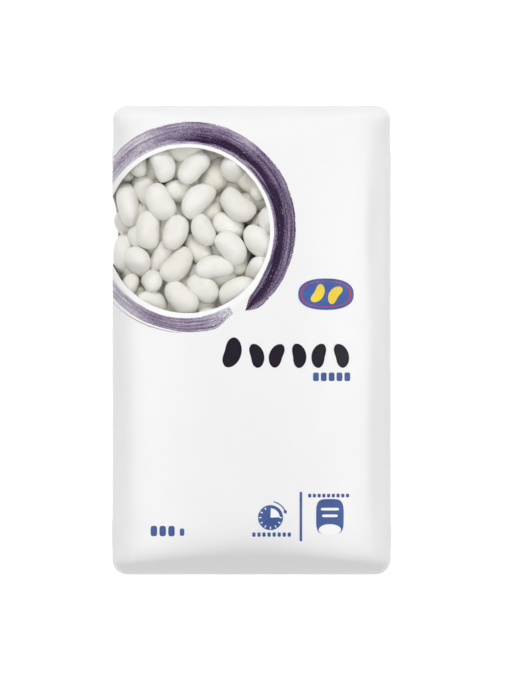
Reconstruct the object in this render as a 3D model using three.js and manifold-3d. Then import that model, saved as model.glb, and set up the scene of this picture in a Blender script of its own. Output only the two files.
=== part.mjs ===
// A plastic film bag of dried white beans, lying on its back panel.
//
// The bag is a stuffed pillow of film: a crowned front panel, rounded sides, a
// back panel flattened by the table, and two wedge-shaped ends whose crimped
// end seals are folded back underneath. A round clear window at the upper left
// of the front runs past the left side. The bag has a shallow recess there,
// and the beans that press against the window fill it.
//
// Millimetres. X runs to the right and Y to the top of the bag as it is read,
// Z up from the table. The origin is under the middle of the bag.

import * as THREE from 'three';
import { mergeVertices } from 'three/addons/utils/BufferGeometryUtils.js';
import Module from 'manifold-3d';

const wasm = await Module();
wasm.setup();

// ---- Driving dimensions -------------------------------------------------

const BAG = {
  width: 130,
  length: 219.3,
  thickness: 44,
  sideHeight: 18, // height of the widest line above the table
  cornerRadius: 7.2, // of the outline, seen from the front
  frontPower: 3.2, // superellipse power of the crowned front
  backFlat: 45, // half-width of the flat part of the back
  endPowerMiddle: 17, // how late the front falls to the end seal, at the middle
  endPowerSide: 38, // and at the sides
  backEndLength: 18, // length over which the back rises to the end seal
  backEndPower: 2.2,
  endOpening: 0.03, // share of the full height left where the films are sealed
};

const END_SEAL = {
  length: 10,
  sideMargin: 10,
  fold: 0.8, // between the end of the bag and the first edge of the seal
  thickness: 0.8,
  root: 0.8, // how deep it reaches into the bag, to be one piece with it
};

const WINDOW = {
  x: -29.9,
  y: 51.0,
  radius: 38.5,
  wrap: 9, // how far the window runs down the side, past the widest line
  depth: 11.5, // of the recess behind it
};

const BEAN = {
  length: 18.4,
  width: 11.8,
  thickness: 9.4,
  sizeSpread: 0.13,
  power: 2.3, // superellipsoid power, which makes the ends blunt
  bend: 0.3, // how far the ends bend to the hilum side
  taper: 0.1, // how much one end is fatter than the other
};

const POUR = {
  seed: 20731,
  filmGap: 0.5, // between the film and the beans that press against it
  slack: 1.2, // how much deeper some of those lie
  deepest: 11.5, // depth of the last bean's middle under the film
  lineDepth: 5, // depth of the line along which the beans keep their distance
  margin: 11, // of the poured patch round the window
  cell: 1, // of the depth map
  tries: 100, // places tried for each bean
  settling: 0.12, // depth that a place one millimetre nearer the bag's bottom is worth
  patience: 30, // beans in a row that may find no room
  press: 0.94, // size with which a bean rests on the others
  steepShare: 0.16, // beans that stand steeply
  gentleTilt: 0.25,
  steepTilt: 1.1,
  roll: 0.5,
};

const CORE_DEPTH = 8.6; // of the solid mass of beans under the ones that show
const LEAST_SHOWING = 1; // height over it of a bean that shows
const HEAP_GAP = 0.4; // round the heap, inside the recess
const GAP_DEPTH = 3; // the gap grows by its own width for each such depth under the film

const HALF_WIDTH = BAG.width / 2;
const HALF_LENGTH = BAG.length / 2;
const FRONT_RISE = BAG.thickness - BAG.sideHeight;

// ---- The film's surface -------------------------------------------------

// Height over the widest line, from the middle of a panel to the side.
const frontHeight = (x) =>
  FRONT_RISE * (1 - (x / HALF_WIDTH) ** BAG.frontPower) ** (1 / BAG.frontPower);
const backHeight = (x) => {
  const past = Math.max(0, x - BAG.backFlat) / (HALF_WIDTH - BAG.backFlat);
  return -BAG.sideHeight * Math.sqrt(Math.max(0, 1 - past * past));
};

// A quarter of the section as rows of [length along the film, x, height], in
// fine steps that close up where the film turns steep.
const TABLE_STEPS = 600;

function quarter(heightAt) {
  const rows = [[0, 0, heightAt(0)]];
  for (let i = 1; i <= TABLE_STEPS; i++) {
    const side = i === TABLE_STEPS;
    const x = side ? HALF_WIDTH : HALF_WIDTH * Math.sin((Math.PI / 2) * (i / TABLE_STEPS));
    const z = side ? 0 : heightAt(x);
    const [along, x0, z0] = rows[i - 1];
    rows.push([along + Math.hypot(x - x0, z - z0), x, z]);
  }
  return rows;
}

const FRONT = quarter(frontHeight);
const BACK = quarter(backHeight);
const FRONT_REACH = FRONT.at(-1)[0]; // film from the middle of the front to a side
const BACK_REACH = BACK.at(-1)[0];

// The row of a table at which its column holds value, with straight lines between rows.
function lookUp(rows, column, value) {
  let low = 0;
  let high = rows.length - 1;
  while (high - low > 1) {
    const middle = (low + high) >> 1;
    if (rows[middle][column] > value) high = middle;
    else low = middle;
  }
  const t = (value - rows[low][column]) / (rows[high][column] - rows[low][column]);
  return rows[low].map((number, k) => number + t * (rows[high][k] - number));
}

// Girth is the film's length from the middle of the front, negative to the
// left, running on round the sides to the middle of the back.
const frontGirth = (x) => Math.sign(x) * lookUp(FRONT, 1, Math.abs(x))[0];
const backGirth = (x) =>
  Math.sign(x) * (FRONT_REACH + BACK_REACH - lookUp(BACK, 1, Math.abs(x))[0]);

function section(girth) {
  const along = Math.abs(girth);
  const [, x, z] = along <= FRONT_REACH
    ? lookUp(FRONT, 0, along)
    : lookUp(BACK, 0, FRONT_REACH + BACK_REACH - along);
  return { x: Math.sign(girth) * x, z };
}

function halfWidthAt(y) {
  const past = Math.abs(y) - (HALF_LENGTH - BAG.cornerRadius);
  if (past <= 0) return HALF_WIDTH;
  const rounded = Math.sqrt(Math.max(0, BAG.cornerRadius ** 2 - past ** 2));
  return HALF_WIDTH - BAG.cornerRadius + rounded;
}

// How much of the full height the film keeps near an end.
function endShare(x, z, y) {
  let closing;
  if (z > 0) {
    const sideways = (x / HALF_WIDTH) ** 2;
    const power = BAG.endPowerMiddle + (BAG.endPowerSide - BAG.endPowerMiddle) * sideways;
    closing = Math.min(1, Math.abs(y) / HALF_LENGTH) ** power;
  } else {
    const past = Math.abs(y) - (HALF_LENGTH - BAG.backEndLength);
    closing = Math.max(0, past / BAG.backEndLength) ** BAG.backEndPower;
  }
  return 1 - (1 - BAG.endOpening) * Math.min(1, closing);
}

function filmPoint(girth, y) {
  const { x, z } = section(girth);
  return new THREE.Vector3(
    (x * halfWidthAt(y)) / HALF_WIDTH,
    y,
    BAG.sideHeight + z * endShare(x, z, y),
  );
}

// Directions round and along the bag on the film, and out of it.
function filmFrame(girth, y) {
  const step = 0.2;
  const round = filmPoint(girth + step, y).sub(filmPoint(girth - step, y)).normalize();
  const along = filmPoint(girth, y + step).sub(filmPoint(girth, y - step));
  along.addScaledVector(round, -along.dot(round)).normalize();
  return { round, along, out: new THREE.Vector3().crossVectors(round, along) };
}

const underFilm = (girth, y, depth) =>
  filmPoint(girth, y).addScaledVector(filmFrame(girth, y).out, -depth);

// ---- Solids from points -------------------------------------------------

function solidOf(geometry) {
  const bare = geometry.clone();
  bare.deleteAttribute('normal');
  bare.deleteAttribute('uv');
  const merged = mergeVertices(bare, 1e-4);
  return new wasm.Manifold(
    new wasm.Mesh({
      numProp: 3,
      vertProperties: new Float32Array(merged.attributes.position.array),
      triVerts: new Uint32Array(merged.index.array),
    }),
  );
}

function geometryOf(solid) {
  const { vertProperties, triVerts } = solid.getMesh();
  const geometry = new THREE.BufferGeometry();
  geometry.setAttribute('position', new THREE.BufferAttribute(new Float32Array(vertProperties), 3));
  geometry.setIndex(new THREE.BufferAttribute(new Uint32Array(triVerts), 1));
  geometry.computeVertexNormals();
  return geometry;
}

// Joins rings of points, all equally many, into a closed body with a fan over
// its first and its last ring. They run anticlockwise seen from the last one.
function solidThrough(rings) {
  const count = rings[0].length;
  const points = rings.flat();
  const faces = [];
  for (let r = 0; r + 1 < rings.length; r++) {
    for (let i = 0; i < count; i++) {
      const a = r * count + i;
      const b = r * count + ((i + 1) % count);
      faces.push(a, b, b + count, a, b + count, a + count);
    }
  }
  const middleOf = (ring) =>
    ring.reduce((sum, p) => sum.add(p), new THREE.Vector3()).divideScalar(count);
  const firstHub = points.length;
  const lastHub = firstHub + 1;
  const lastRing = (rings.length - 1) * count;
  points.push(middleOf(rings[0]), middleOf(rings.at(-1)));
  for (let i = 0; i < count; i++) {
    const next = (i + 1) % count;
    faces.push(firstHub, next, i, lastHub, lastRing + i, lastRing + next);
  }
  const geometry = new THREE.BufferGeometry().setFromPoints(points);
  geometry.setIndex(faces);
  return solidOf(geometry);
}

// ---- The stuffed bag ----------------------------------------------------

const MESH = {
  front: 40, // faces across the front, from side to side
  back: 18,
  middle: 10, // rows of faces between the two end zones
  end: 10, // rows in each end zone, closing up towards the seal
  endZone: 34,
};

function lengthStations() {
  const edge = HALF_LENGTH - MESH.endZone;
  const middle = Array.from(
    { length: MESH.middle + 1 },
    (_, i) => edge * ((2 * i) / MESH.middle - 1),
  );
  const end = Array.from(
    { length: MESH.end },
    (_, i) => edge + MESH.endZone * Math.sin((Math.PI / 2) * ((i + 1) / MESH.end)),
  );
  return [...end.map((y) => -y).reverse(), ...middle, ...end];
}

// Round the bag once: over the front from left to right, back under it.
function girthStations() {
  const front = Array.from(
    { length: MESH.front },
    (_, i) => FRONT_REACH * ((2 * i) / MESH.front - 1),
  );
  const back = Array.from({ length: MESH.back }, (_, i) => {
    const past = (2 * BACK_REACH * i) / MESH.back;
    return past <= BACK_REACH ? FRONT_REACH + past : past - FRONT_REACH - 2 * BACK_REACH;
  });
  return [...front, ...back];
}

function stuffedBag() {
  const girths = girthStations();
  return solidThrough(lengthStations().map((y) => girths.map((g) => filmPoint(g, y))));
}

// A crimped end seal, folded back against the underside of its end.
function endSeal(end) {
  const across = 16;
  const along = 4;
  const half = HALF_WIDTH - END_SEAL.sideMargin;
  const rings = [];
  for (let i = 0; i <= across; i++) {
    const girth = backGirth(half * ((2 * i) / across - 1) || 1e-6);
    const strip = (depth) =>
      Array.from({ length: along + 1 }, (_, j) => {
        const inwards = END_SEAL.fold + (END_SEAL.length * j) / along;
        return underFilm(girth, end * (HALF_LENGTH - inwards), depth);
      });
    const ring = [...strip(-END_SEAL.thickness), ...strip(END_SEAL.root).reverse()];
    rings.push(end > 0 ? ring.reverse() : ring);
  }
  return solidThrough(rings);
}

// ---- The window ---------------------------------------------------------

const WINDOW_MIDDLE = { girth: frontGirth(WINDOW.x), y: WINDOW.y };

// A point on the window's edge. It is a circle as seen from the front. Past the
// widest line of the bag it closes with half an ellipse.
function windowCurve(turn) {
  const leftmost = Math.acos((-HALF_WIDTH - WINDOW.x) / WINDOW.radius);
  const angle = 2 * Math.PI * turn;
  if (Math.abs(angle - Math.PI) < Math.PI - leftmost) {
    const t = (Math.PI * (angle - leftmost)) / (2 * (Math.PI - leftmost));
    return {
      girth: -FRONT_REACH - WINDOW.wrap * Math.sin(t),
      y: WINDOW.y + WINDOW.radius * Math.sin(leftmost) * Math.cos(t),
    };
  }
  return {
    girth: frontGirth(WINDOW.x + WINDOW.radius * Math.cos(angle)),
    y: WINDOW.y + WINDOW.radius * Math.sin(angle),
  };
}

// Points at equal distances along the window's edge.
function windowEdge(count) {
  const fine = 40 * count;
  const rows = [[0, windowCurve(0).girth, windowCurve(0).y]];
  for (let i = 1; i <= fine; i++) {
    const { girth, y } = windowCurve(i / fine);
    const [along, girth0, y0] = rows[i - 1];
    rows.push([along + Math.hypot(girth - girth0, y - y0), girth, y]);
  }
  return Array.from({ length: count }, (_, i) => {
    const [, girth, y] = lookUp(rows, 0, (rows.at(-1)[0] * i) / count);
    return { girth, y };
  });
}

// The slab of the bag behind the window, between two depths under the film.
function behindWindow(top, bottom, gap) {
  const shrinks = [0.2, 0.4, 0.6, 0.8, 0.92];
  const wallShares = [1, 0.75, 0.5, 0.25, 0];
  const edge = windowEdge(54);
  const ring = (share, depth) =>
    edge.map((point) => {
      const dg = point.girth - WINDOW_MIDDLE.girth;
      const dy = point.y - WINDOW_MIDDLE.y;
      const widened = gap * (1 + Math.max(0, depth) / GAP_DEPTH);
      const inset = share * (1 - widened / Math.hypot(dg, dy));
      return underFilm(WINDOW_MIDDLE.girth + inset * dg, WINDOW_MIDDLE.y + inset * dy, depth);
    });
  return solidThrough([
    ...shrinks.map((share) => ring(share, bottom)),
    ...wallShares.map((share) => ring(1, top + share * (bottom - top))),
    ...shrinks.toReversed().map((share) => ring(share, top)),
  ]);
}

// ---- The beans ----------------------------------------------------------

// A seeded draw from 0 to 1, mulberry32.
function drawer(seed) {
  let state = seed >>> 0;
  return () => {
    state = (state + 0x6d2b79f5) >>> 0;
    let t = state;
    t = Math.imul(t ^ (t >>> 15), t | 1);
    t ^= t + Math.imul(t ^ (t >>> 7), t | 61);
    return ((t ^ (t >>> 14)) >>> 0) / 4294967296;
  };
}

// Girths against lengths along a line under the film and across the window. It
// is shorter than the film where that turns down to the side.
function beanLine() {
  const low = -FRONT_REACH - WINDOW.wrap - POUR.margin;
  const high = frontGirth(WINDOW.x + WINDOW.radius) + POUR.margin;
  const steps = 2 * Math.ceil(high - low);
  const rows = [];
  for (let i = 0; i <= steps; i++) {
    const girth = low + ((high - low) * i) / steps;
    const at = underFilm(girth, WINDOW.y, POUR.lineDepth);
    const along = i === 0 ? 0 : rows[i - 1][0] + at.distanceTo(rows[i - 1][2]);
    rows.push([along, girth, at]);
  }
  return rows.map(([along, girth]) => [along, girth]);
}

// How far an ellipsoid in a given attitude reaches from its middle, towards the
// film and away from it, at each cell of the depth map that it covers.
function spans(bean, low, columns, rows) {
  const turn = turned(bean).elements;
  const axes = [BEAN.length, BEAN.width, BEAN.thickness];
  const inverse = (r, c) =>
    axes.reduce((sum, axis, k) => {
      const half = (axis / 2) * bean.size * POUR.press;
      return sum + (turn[4 * k + r] * turn[4 * k + c]) / half ** 2;
    }, 0);
  const [xx, xy, yy] = [inverse(0, 0), inverse(0, 1), inverse(1, 1)];
  const [xz, yz, zz] = [inverse(0, 2), inverse(1, 2), inverse(2, 2)];
  const halo = Math.ceil((BEAN.length * bean.size) / 2 / POUR.cell);
  const column = Math.floor(bean.along / POUR.cell);
  const row = Math.floor((bean.y - low) / POUR.cell);
  const cells = [];
  for (let r = Math.max(0, row - halo); r <= Math.min(rows - 1, row + halo); r++) {
    for (let c = Math.max(0, column - halo); c <= Math.min(columns - 1, column + halo); c++) {
      const dx = (c + 0.5) * POUR.cell - bean.along;
      const dy = low + (r + 0.5) * POUR.cell - bean.y;
      const slope = xz * dx + yz * dy;
      const inside = slope ** 2 - zz * (xx * dx * dx + 2 * xy * dx * dy + yy * dy * dy - 1);
      if (inside <= 0) continue;
      const root = Math.sqrt(inside);
      cells.push({ cell: r * columns + c, out: (root - slope) / zz, in: (root + slope) / zz });
    }
  }
  return cells;
}

// The beans in the order in which they are packed: their girth, y and depth,
// and their turn, tilt, roll and size. The first ones press against the film,
// and later ones lie behind them, on a map of how deep each place is filled. A
// bean takes the best of a few drawn places: a shallow one, low down in the bag.
function pour() {
  const draw = drawer(POUR.seed);
  const line = beanLine();
  const width = line.at(-1)[0];
  const low = WINDOW.y - WINDOW.radius - POUR.margin;
  const height = 2 * (WINDOW.y - low);
  const columns = Math.ceil(width / POUR.cell);
  const rows = Math.ceil(height / POUR.cell);
  const filled = new Float64Array(columns * rows).fill(POUR.filmGap);

  const lying = [];
  let misses = 0;
  while (misses < POUR.patience) {
    const steep = draw() < POUR.steepShare;
    const kind = {
      tilt: (2 * draw() - 1) * (steep ? POUR.steepTilt : POUR.gentleTilt),
      roll: (2 * draw() - 1) * POUR.roll,
      size: 1 + (2 * draw() - 1) * BEAN.sizeSpread,
      slack: draw() * POUR.slack,
    };
    let best = null;
    for (let i = 0; i < POUR.tries; i++) {
      const bean = {
        ...kind,
        along: draw() * width,
        y: low + draw() * height,
        turn: draw() * 2 * Math.PI,
      };
      bean.cells = spans(bean, low, columns, rows);
      bean.depth = kind.slack + Math.max(...bean.cells.map((at) => filled[at.cell] + at.out));
      bean.rank = bean.depth + POUR.settling * (bean.y - low);
      if (bean.depth < POUR.deepest && (!best || bean.rank < best.rank)) best = bean;
    }
    if (!best) {
      misses++;
      continue;
    }
    misses = 0;
    for (const at of best.cells) {
      filled[at.cell] = Math.max(filled[at.cell], best.depth + at.in);
    }
    lying.push({ ...best, girth: lookUp(line, 0, best.along)[1] });
  }
  return lying;
}

// The turn of a bean in the film's own directions: round, along and out.
function turned(bean) {
  return new THREE.Matrix4()
    .makeRotationZ(bean.turn)
    .multiply(new THREE.Matrix4().makeRotationY(bean.tilt))
    .multiply(new THREE.Matrix4().makeRotationX(bean.roll));
}

// A kidney-shaped bean, its length along X and its hilum towards +Y.
function beanGeometry() {
  const sphere = new THREE.SphereGeometry(1, 8, 6).rotateZ(Math.PI / 2);
  const at = sphere.getAttribute('position');
  const p = new THREE.Vector3();
  for (let i = 0; i < at.count; i++) {
    p.fromBufferAttribute(at, i);
    const norm = (Math.abs(p.x) ** BEAN.power + Math.abs(p.y) ** BEAN.power
      + Math.abs(p.z) ** BEAN.power) ** (1 / BEAN.power);
    p.divideScalar(norm);
    const fat = 1 + BEAN.taper * p.x;
    at.setXYZ(
      i,
      (BEAN.length / 2) * p.x,
      (BEAN.width / 2) * (fat * p.y + BEAN.bend * (p.x * p.x - 0.5)),
      (BEAN.thickness / 2) * fat * p.z,
    );
  }
  return sphere;
}

function beanHeap() {
  const shape = beanGeometry();
  let heap = behindWindow(CORE_DEPTH, WINDOW.depth - HEAP_GAP, HEAP_GAP);
  for (const bean of pour()) {
    const crown = bean.depth - Math.max(...bean.cells.map((at) => at.out));
    if (crown > CORE_DEPTH - LEAST_SHOWING) continue;
    const { round, along, out } = filmFrame(bean.girth, bean.y);
    const place = new THREE.Matrix4()
      .makeBasis(round, along, out)
      .setPosition(underFilm(bean.girth, bean.y, bean.depth))
      .multiply(turned(bean))
      .scale(new THREE.Vector3(bean.size, bean.size, bean.size));
    heap = heap.add(solidOf(shape.clone().applyMatrix4(place)));
  }
  const trimmed = heap.intersect(behindWindow(HEAP_GAP, WINDOW.depth - HEAP_GAP, HEAP_GAP));
  const pieces = trimmed.decompose().sort((a, b) => b.volume() - a.volume());
  return pieces[0];
}

// ---- The bag and its beans ----------------------------------------------

const whiteFilm = new THREE.MeshStandardMaterial({ color: 0xf0f0f0, roughness: 0.38, metalness: 0 });
const whiteBean = new THREE.MeshStandardMaterial({ color: 0xe4e1d6, roughness: 0.5, metalness: 0 });

function named(name, solid, material) {
  const mesh = new THREE.Mesh(geometryOf(solid), material);
  mesh.name = name;
  return mesh;
}

const OUTSIDE = -4;
const bag = stuffedBag()
  .add(endSeal(1))
  .add(endSeal(-1))
  .subtract(behindWindow(OUTSIDE, WINDOW.depth, 0));

const beanBag = new THREE.Group();
beanBag.add(named('bag', bag, whiteFilm));
beanBag.add(named('beans', beanHeap(), whiteBean));

export default beanBag;
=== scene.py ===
"""A film bag of dried white beans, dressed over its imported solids.

The bag lies on its back panel with its front up. A white film is stretched over
the beans and sealed at both ends, and its end seals are folded underneath. A
round clear window at the upper left shows the beans. A brushed ring and a few
plain marks are printed on the film.

Sizes here are millimetres, and MM turns them into metres where a mesh is made.
A place on the film has two coordinates. Its girth is the film's length from the
middle of the front, negative to the left, running on round the sides to the
middle of the back. Its y is the height on the bag as it is read.
"""

from __future__ import annotations

import logging
import math
import random
from collections.abc import Callable, Sequence
from dataclasses import dataclass, replace
from enum import Enum

import bpy
import numpy as np
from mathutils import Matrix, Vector
from mathutils.bvhtree import BVHTree

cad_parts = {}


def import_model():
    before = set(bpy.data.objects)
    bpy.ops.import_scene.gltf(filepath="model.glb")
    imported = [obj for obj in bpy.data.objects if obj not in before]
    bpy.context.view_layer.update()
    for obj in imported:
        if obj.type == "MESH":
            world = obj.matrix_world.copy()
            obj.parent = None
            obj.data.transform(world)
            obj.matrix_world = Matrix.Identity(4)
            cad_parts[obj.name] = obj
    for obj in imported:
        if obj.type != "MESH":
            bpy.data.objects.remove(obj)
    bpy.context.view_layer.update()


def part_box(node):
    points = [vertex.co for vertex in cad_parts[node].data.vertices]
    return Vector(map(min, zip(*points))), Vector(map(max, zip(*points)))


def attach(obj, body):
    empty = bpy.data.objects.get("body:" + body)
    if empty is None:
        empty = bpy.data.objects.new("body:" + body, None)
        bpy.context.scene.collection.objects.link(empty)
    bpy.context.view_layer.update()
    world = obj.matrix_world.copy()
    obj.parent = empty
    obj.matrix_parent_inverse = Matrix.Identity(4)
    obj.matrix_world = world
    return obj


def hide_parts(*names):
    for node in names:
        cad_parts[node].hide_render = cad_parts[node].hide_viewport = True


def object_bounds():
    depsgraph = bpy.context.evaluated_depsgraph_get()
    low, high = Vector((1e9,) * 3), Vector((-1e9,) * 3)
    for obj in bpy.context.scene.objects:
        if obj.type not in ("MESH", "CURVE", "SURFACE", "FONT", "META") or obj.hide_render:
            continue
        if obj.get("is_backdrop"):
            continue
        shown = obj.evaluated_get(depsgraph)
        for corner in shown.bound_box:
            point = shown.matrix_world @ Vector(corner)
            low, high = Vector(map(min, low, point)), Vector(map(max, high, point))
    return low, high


LOG = logging.getLogger("bean_bag")

MM = 0.001
BODY = "root"

Points = np.ndarray
Colour = tuple[float, float, float]
Socket = bpy.types.NodeSocket


# ---- Small helpers ------------------------------------------------------


def smooth(value: np.ndarray | float, low: float, high: float) -> np.ndarray:
    """Rise smoothly from 0 at low to 1 at high.

    Args:
        value: Where to read the step.
        low: The last value that gives 0.
        high: The first value that gives 1.

    Returns:
        The step's height at each value.
    """
    t = np.clip((np.asarray(value, float) - low) / (high - low), 0.0, 1.0)
    return t * t * (3 - 2 * t)


def bell(value: np.ndarray | float, middle: float, width: float) -> np.ndarray:
    """Return a bell curve of height 1 round a middle, falling to 0.37 at its width."""
    return np.exp(-(((np.asarray(value, float) - middle) / width) ** 2))


def drawer(seed: int) -> Callable[[], float]:
    """Make a seeded draw from 0 to 1, mulberry32.

    Args:
        seed: A whole number.

    Returns:
        A function that gives the next number.
    """
    word = 0xFFFFFFFF
    state = seed & word

    def draw() -> float:
        """Return the next number, from 0 up to 1."""
        nonlocal state
        state = (state + 0x6D2B79F5) & word
        t = state
        t = ((t ^ (t >> 15)) * (t | 1)) & word
        t ^= (t + ((t ^ (t >> 7)) * (t | 61) & word)) & word
        return ((t ^ (t >> 14)) & word) / 4294967296

    return draw


def grid_faces(rows: int, columns: int, closed: bool = False) -> np.ndarray:
    """List the four-sided faces of a grid of points.

    Args:
        rows: Rows of points.
        columns: Points in a row.
        closed: Whether each row joins up with its own start.

    Returns:
        An array of four point numbers for each face.
    """
    across = columns if closed else columns - 1
    r, c = np.meshgrid(np.arange(rows - 1), np.arange(across), indexing="ij")
    r, c = r.ravel(), c.ravel()
    after = (c + 1) % columns
    corners = (r * columns + c, r * columns + after, (r + 1) * columns + after, (r + 1) * columns + c)
    return np.stack(corners, axis=1)


def make_piece(name: str, points: Points, faces: Sequence | np.ndarray) -> bpy.types.Object:
    """Make a smooth-shaded mesh object from points in millimetres.

    Args:
        name: The piece's name.
        points: An array of X, Y and Z rows.
        faces: Point numbers of each face.

    Returns:
        The new object, linked to the scene.
    """
    mesh = bpy.data.meshes.new(name)
    listed = faces.tolist() if isinstance(faces, np.ndarray) else list(faces)
    mesh.from_pydata((np.asarray(points) * MM).tolist(), [], listed)
    mesh.validate()
    mesh.shade_smooth()
    piece = bpy.data.objects.new(name, mesh)
    bpy.context.scene.collection.objects.link(piece)
    return piece


def give_thickness(piece: bpy.types.Object, thickness: float) -> None:
    """Give a sheet a thickness in millimetres, inwards from the face that shows."""
    shell = piece.modifiers.new("thickness", "SOLIDIFY")
    shell.thickness = thickness * MM
    shell.offset = -1
    shell.use_rim = True


def dress(piece: bpy.types.Object, material: bpy.types.Material) -> bpy.types.Object:
    """Give a piece its material and fix it to the bag.

    Args:
        piece: The piece, in place.
        material: What it is made of.

    Returns:
        The same piece.
    """
    piece.data.materials.clear()
    piece.data.materials.append(material)
    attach(piece, BODY)
    LOG.info("made %s with %d faces", piece.name, len(piece.data.polygons))
    return piece


# ---- The film's surface -------------------------------------------------


@dataclass
class Film:
    """The bag's outer surface: a crowned front, round sides and a flat back.

    Its width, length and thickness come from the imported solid.
    """

    width: float
    length: float
    thickness: float
    side_height: float = 18.0  # of the widest line above the table
    corner_radius: float = 7.2
    front_power: float = 3.2
    back_flat: float = 45.0
    end_power_middle: float = 17.5
    end_power_side: float = 58.0
    back_end_length: float = 18.0
    back_end_power: float = 2.2
    end_opening: float = 0.03
    lip: float = 0.7  # length over which the sealed end rounds off
    table_steps: int = 600

    def __post_init__(self) -> None:
        """Work out the two quarters of the section."""
        self.half_width = self.width / 2
        self.half_length = self.length / 2
        self.front = self._quarter(self._front_height)
        self.back = self._quarter(self._back_height)
        self.front_reach = float(self.front[0][-1])
        self.back_reach = float(self.back[0][-1])

    def _front_height(self, x: np.ndarray) -> np.ndarray:
        """Return the front's height over the widest line."""
        share = 1 - (x / self.half_width) ** self.front_power
        rise = self.thickness - self.side_height
        return rise * np.maximum(0.0, share) ** (1 / self.front_power)

    def _back_height(self, x: np.ndarray) -> np.ndarray:
        """Return the back's height over the widest line, which is negative."""
        past = np.maximum(0.0, x - self.back_flat) / (self.half_width - self.back_flat)
        return -self.side_height * np.sqrt(np.maximum(0.0, 1 - past**2))

    def _quarter(self, height_at: Callable[[np.ndarray], np.ndarray]) -> tuple:
        """Follow a quarter of the section from the middle of a panel to the side.

        Args:
            height_at: The height over the widest line at each x.

        Returns:
            Arrays of the length along the film, x and height.
        """
        x = self.half_width * np.sin(np.linspace(0, math.pi / 2, self.table_steps + 1))
        height = height_at(x)
        height[-1] = 0.0
        steps = np.hypot(np.diff(x), np.diff(height))
        return np.concatenate([[0.0], np.cumsum(steps)]), x, height

    def girth_at(self, x: np.ndarray | float) -> np.ndarray:
        """Return the girth of a place on the front that is seen at x."""
        along, xs, _ = self.front
        return np.sign(x) * np.interp(np.abs(x), xs, along)

    def back_girth_at(self, x: np.ndarray | float) -> np.ndarray:
        """Return the girth of a place on the back at x."""
        along, xs, _ = self.back
        down = self.front_reach + self.back_reach - np.interp(np.abs(x), xs, along)
        return np.where(np.asarray(x) < 0, -down, down)

    def section(self, girth: np.ndarray) -> tuple[np.ndarray, np.ndarray]:
        """Return x and the height over the widest line at a girth, clear of the ends."""
        past = np.abs(girth)
        down = self.front_reach + self.back_reach - past
        on_front = past <= self.front_reach
        x = np.where(on_front, np.interp(past, *self.front[:2]), np.interp(down, *self.back[:2]))
        z = np.where(
            on_front,
            np.interp(past, self.front[0], self.front[2]),
            np.interp(down, self.back[0], self.back[2]),
        )
        return np.sign(girth) * x, z

    def half_width_at(self, y: np.ndarray) -> np.ndarray:
        """Return the outline's half-width, which rounds off at the corners."""
        past = np.abs(y) - (self.half_length - self.corner_radius)
        rounded = np.sqrt(np.maximum(0.0, self.corner_radius**2 - np.maximum(0.0, past) ** 2))
        return np.where(past <= 0, self.half_width, self.half_width - self.corner_radius + rounded)

    def end_share(self, x: np.ndarray, z: np.ndarray, y: np.ndarray) -> np.ndarray:
        """Return how much of its full height the film keeps near an end."""
        sideways = (x / self.half_width) ** 2
        power = self.end_power_middle + (self.end_power_side - self.end_power_middle) * sideways
        front = np.minimum(1.0, np.abs(y) / self.half_length) ** power
        past = np.abs(y) - (self.half_length - self.back_end_length)
        back = np.maximum(0.0, past / self.back_end_length) ** self.back_end_power
        closing = np.where(z > 0, front, np.minimum(1.0, back))
        rounding = np.clip((np.abs(y) - self.half_length + self.lip) / self.lip, 0.0, 1.0)
        return (1 - (1 - self.end_opening) * closing) * np.sqrt(1 - rounding**2)

    def point(self, girth: np.ndarray, y: np.ndarray) -> Points:
        """Return the places on the film, as rows of X, Y and Z."""
        girth, y = np.broadcast_arrays(np.asarray(girth, float), np.asarray(y, float))
        x, z = self.section(girth)
        height = self.side_height + z * self.end_share(x, z, y)
        return np.stack([x * self.half_width_at(y) / self.half_width, y, height], axis=-1)

    def directions(self, girth: np.ndarray, y: np.ndarray) -> tuple[Points, Points, Points]:
        """Return the directions round the bag, along it and out of it.

        Args:
            girth: Girth of each place.
            y: Its y.

        Returns:
            Three arrays of unit rows.
        """
        step = 0.2
        inner = np.clip(y, -self.half_length + 2 * step, self.half_length - 2 * step)
        round_it = self.point(girth + step, inner) - self.point(girth - step, inner)
        round_it /= np.linalg.norm(round_it, axis=-1, keepdims=True)
        along = self.point(girth, inner + step) - self.point(girth, inner - step)
        along -= round_it * np.sum(along * round_it, axis=-1, keepdims=True)
        along /= np.linalg.norm(along, axis=-1, keepdims=True)
        return round_it, along, np.cross(round_it, along)

    def lifted(self, girth: np.ndarray, y: np.ndarray, lift: np.ndarray | float) -> Points:
        """Return the places that stand off the film by lift, outwards."""
        girth, y, lift = np.broadcast_arrays(
            np.asarray(girth, float), np.asarray(y, float), np.asarray(lift, float)
        )
        return self.point(girth, y) + self.directions(girth, y)[2] * lift[..., None]


@dataclass(frozen=True)
class Lump:
    """A bean that presses on the film from inside."""

    girth: float
    y: float
    turn: float
    half_length: float
    half_width: float
    strength: float


@dataclass(frozen=True)
class Groove:
    """A soft upright groove where the front turns down to a side."""

    side: int
    inset: float  # of its line from the side, along the film
    y: float
    half_height: float


@dataclass(frozen=True)
class Dent:
    """A dent at the side near a corner."""

    side: int
    end: int
    inset: float  # of its middle from the end
    share: float  # of the full depth


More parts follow.
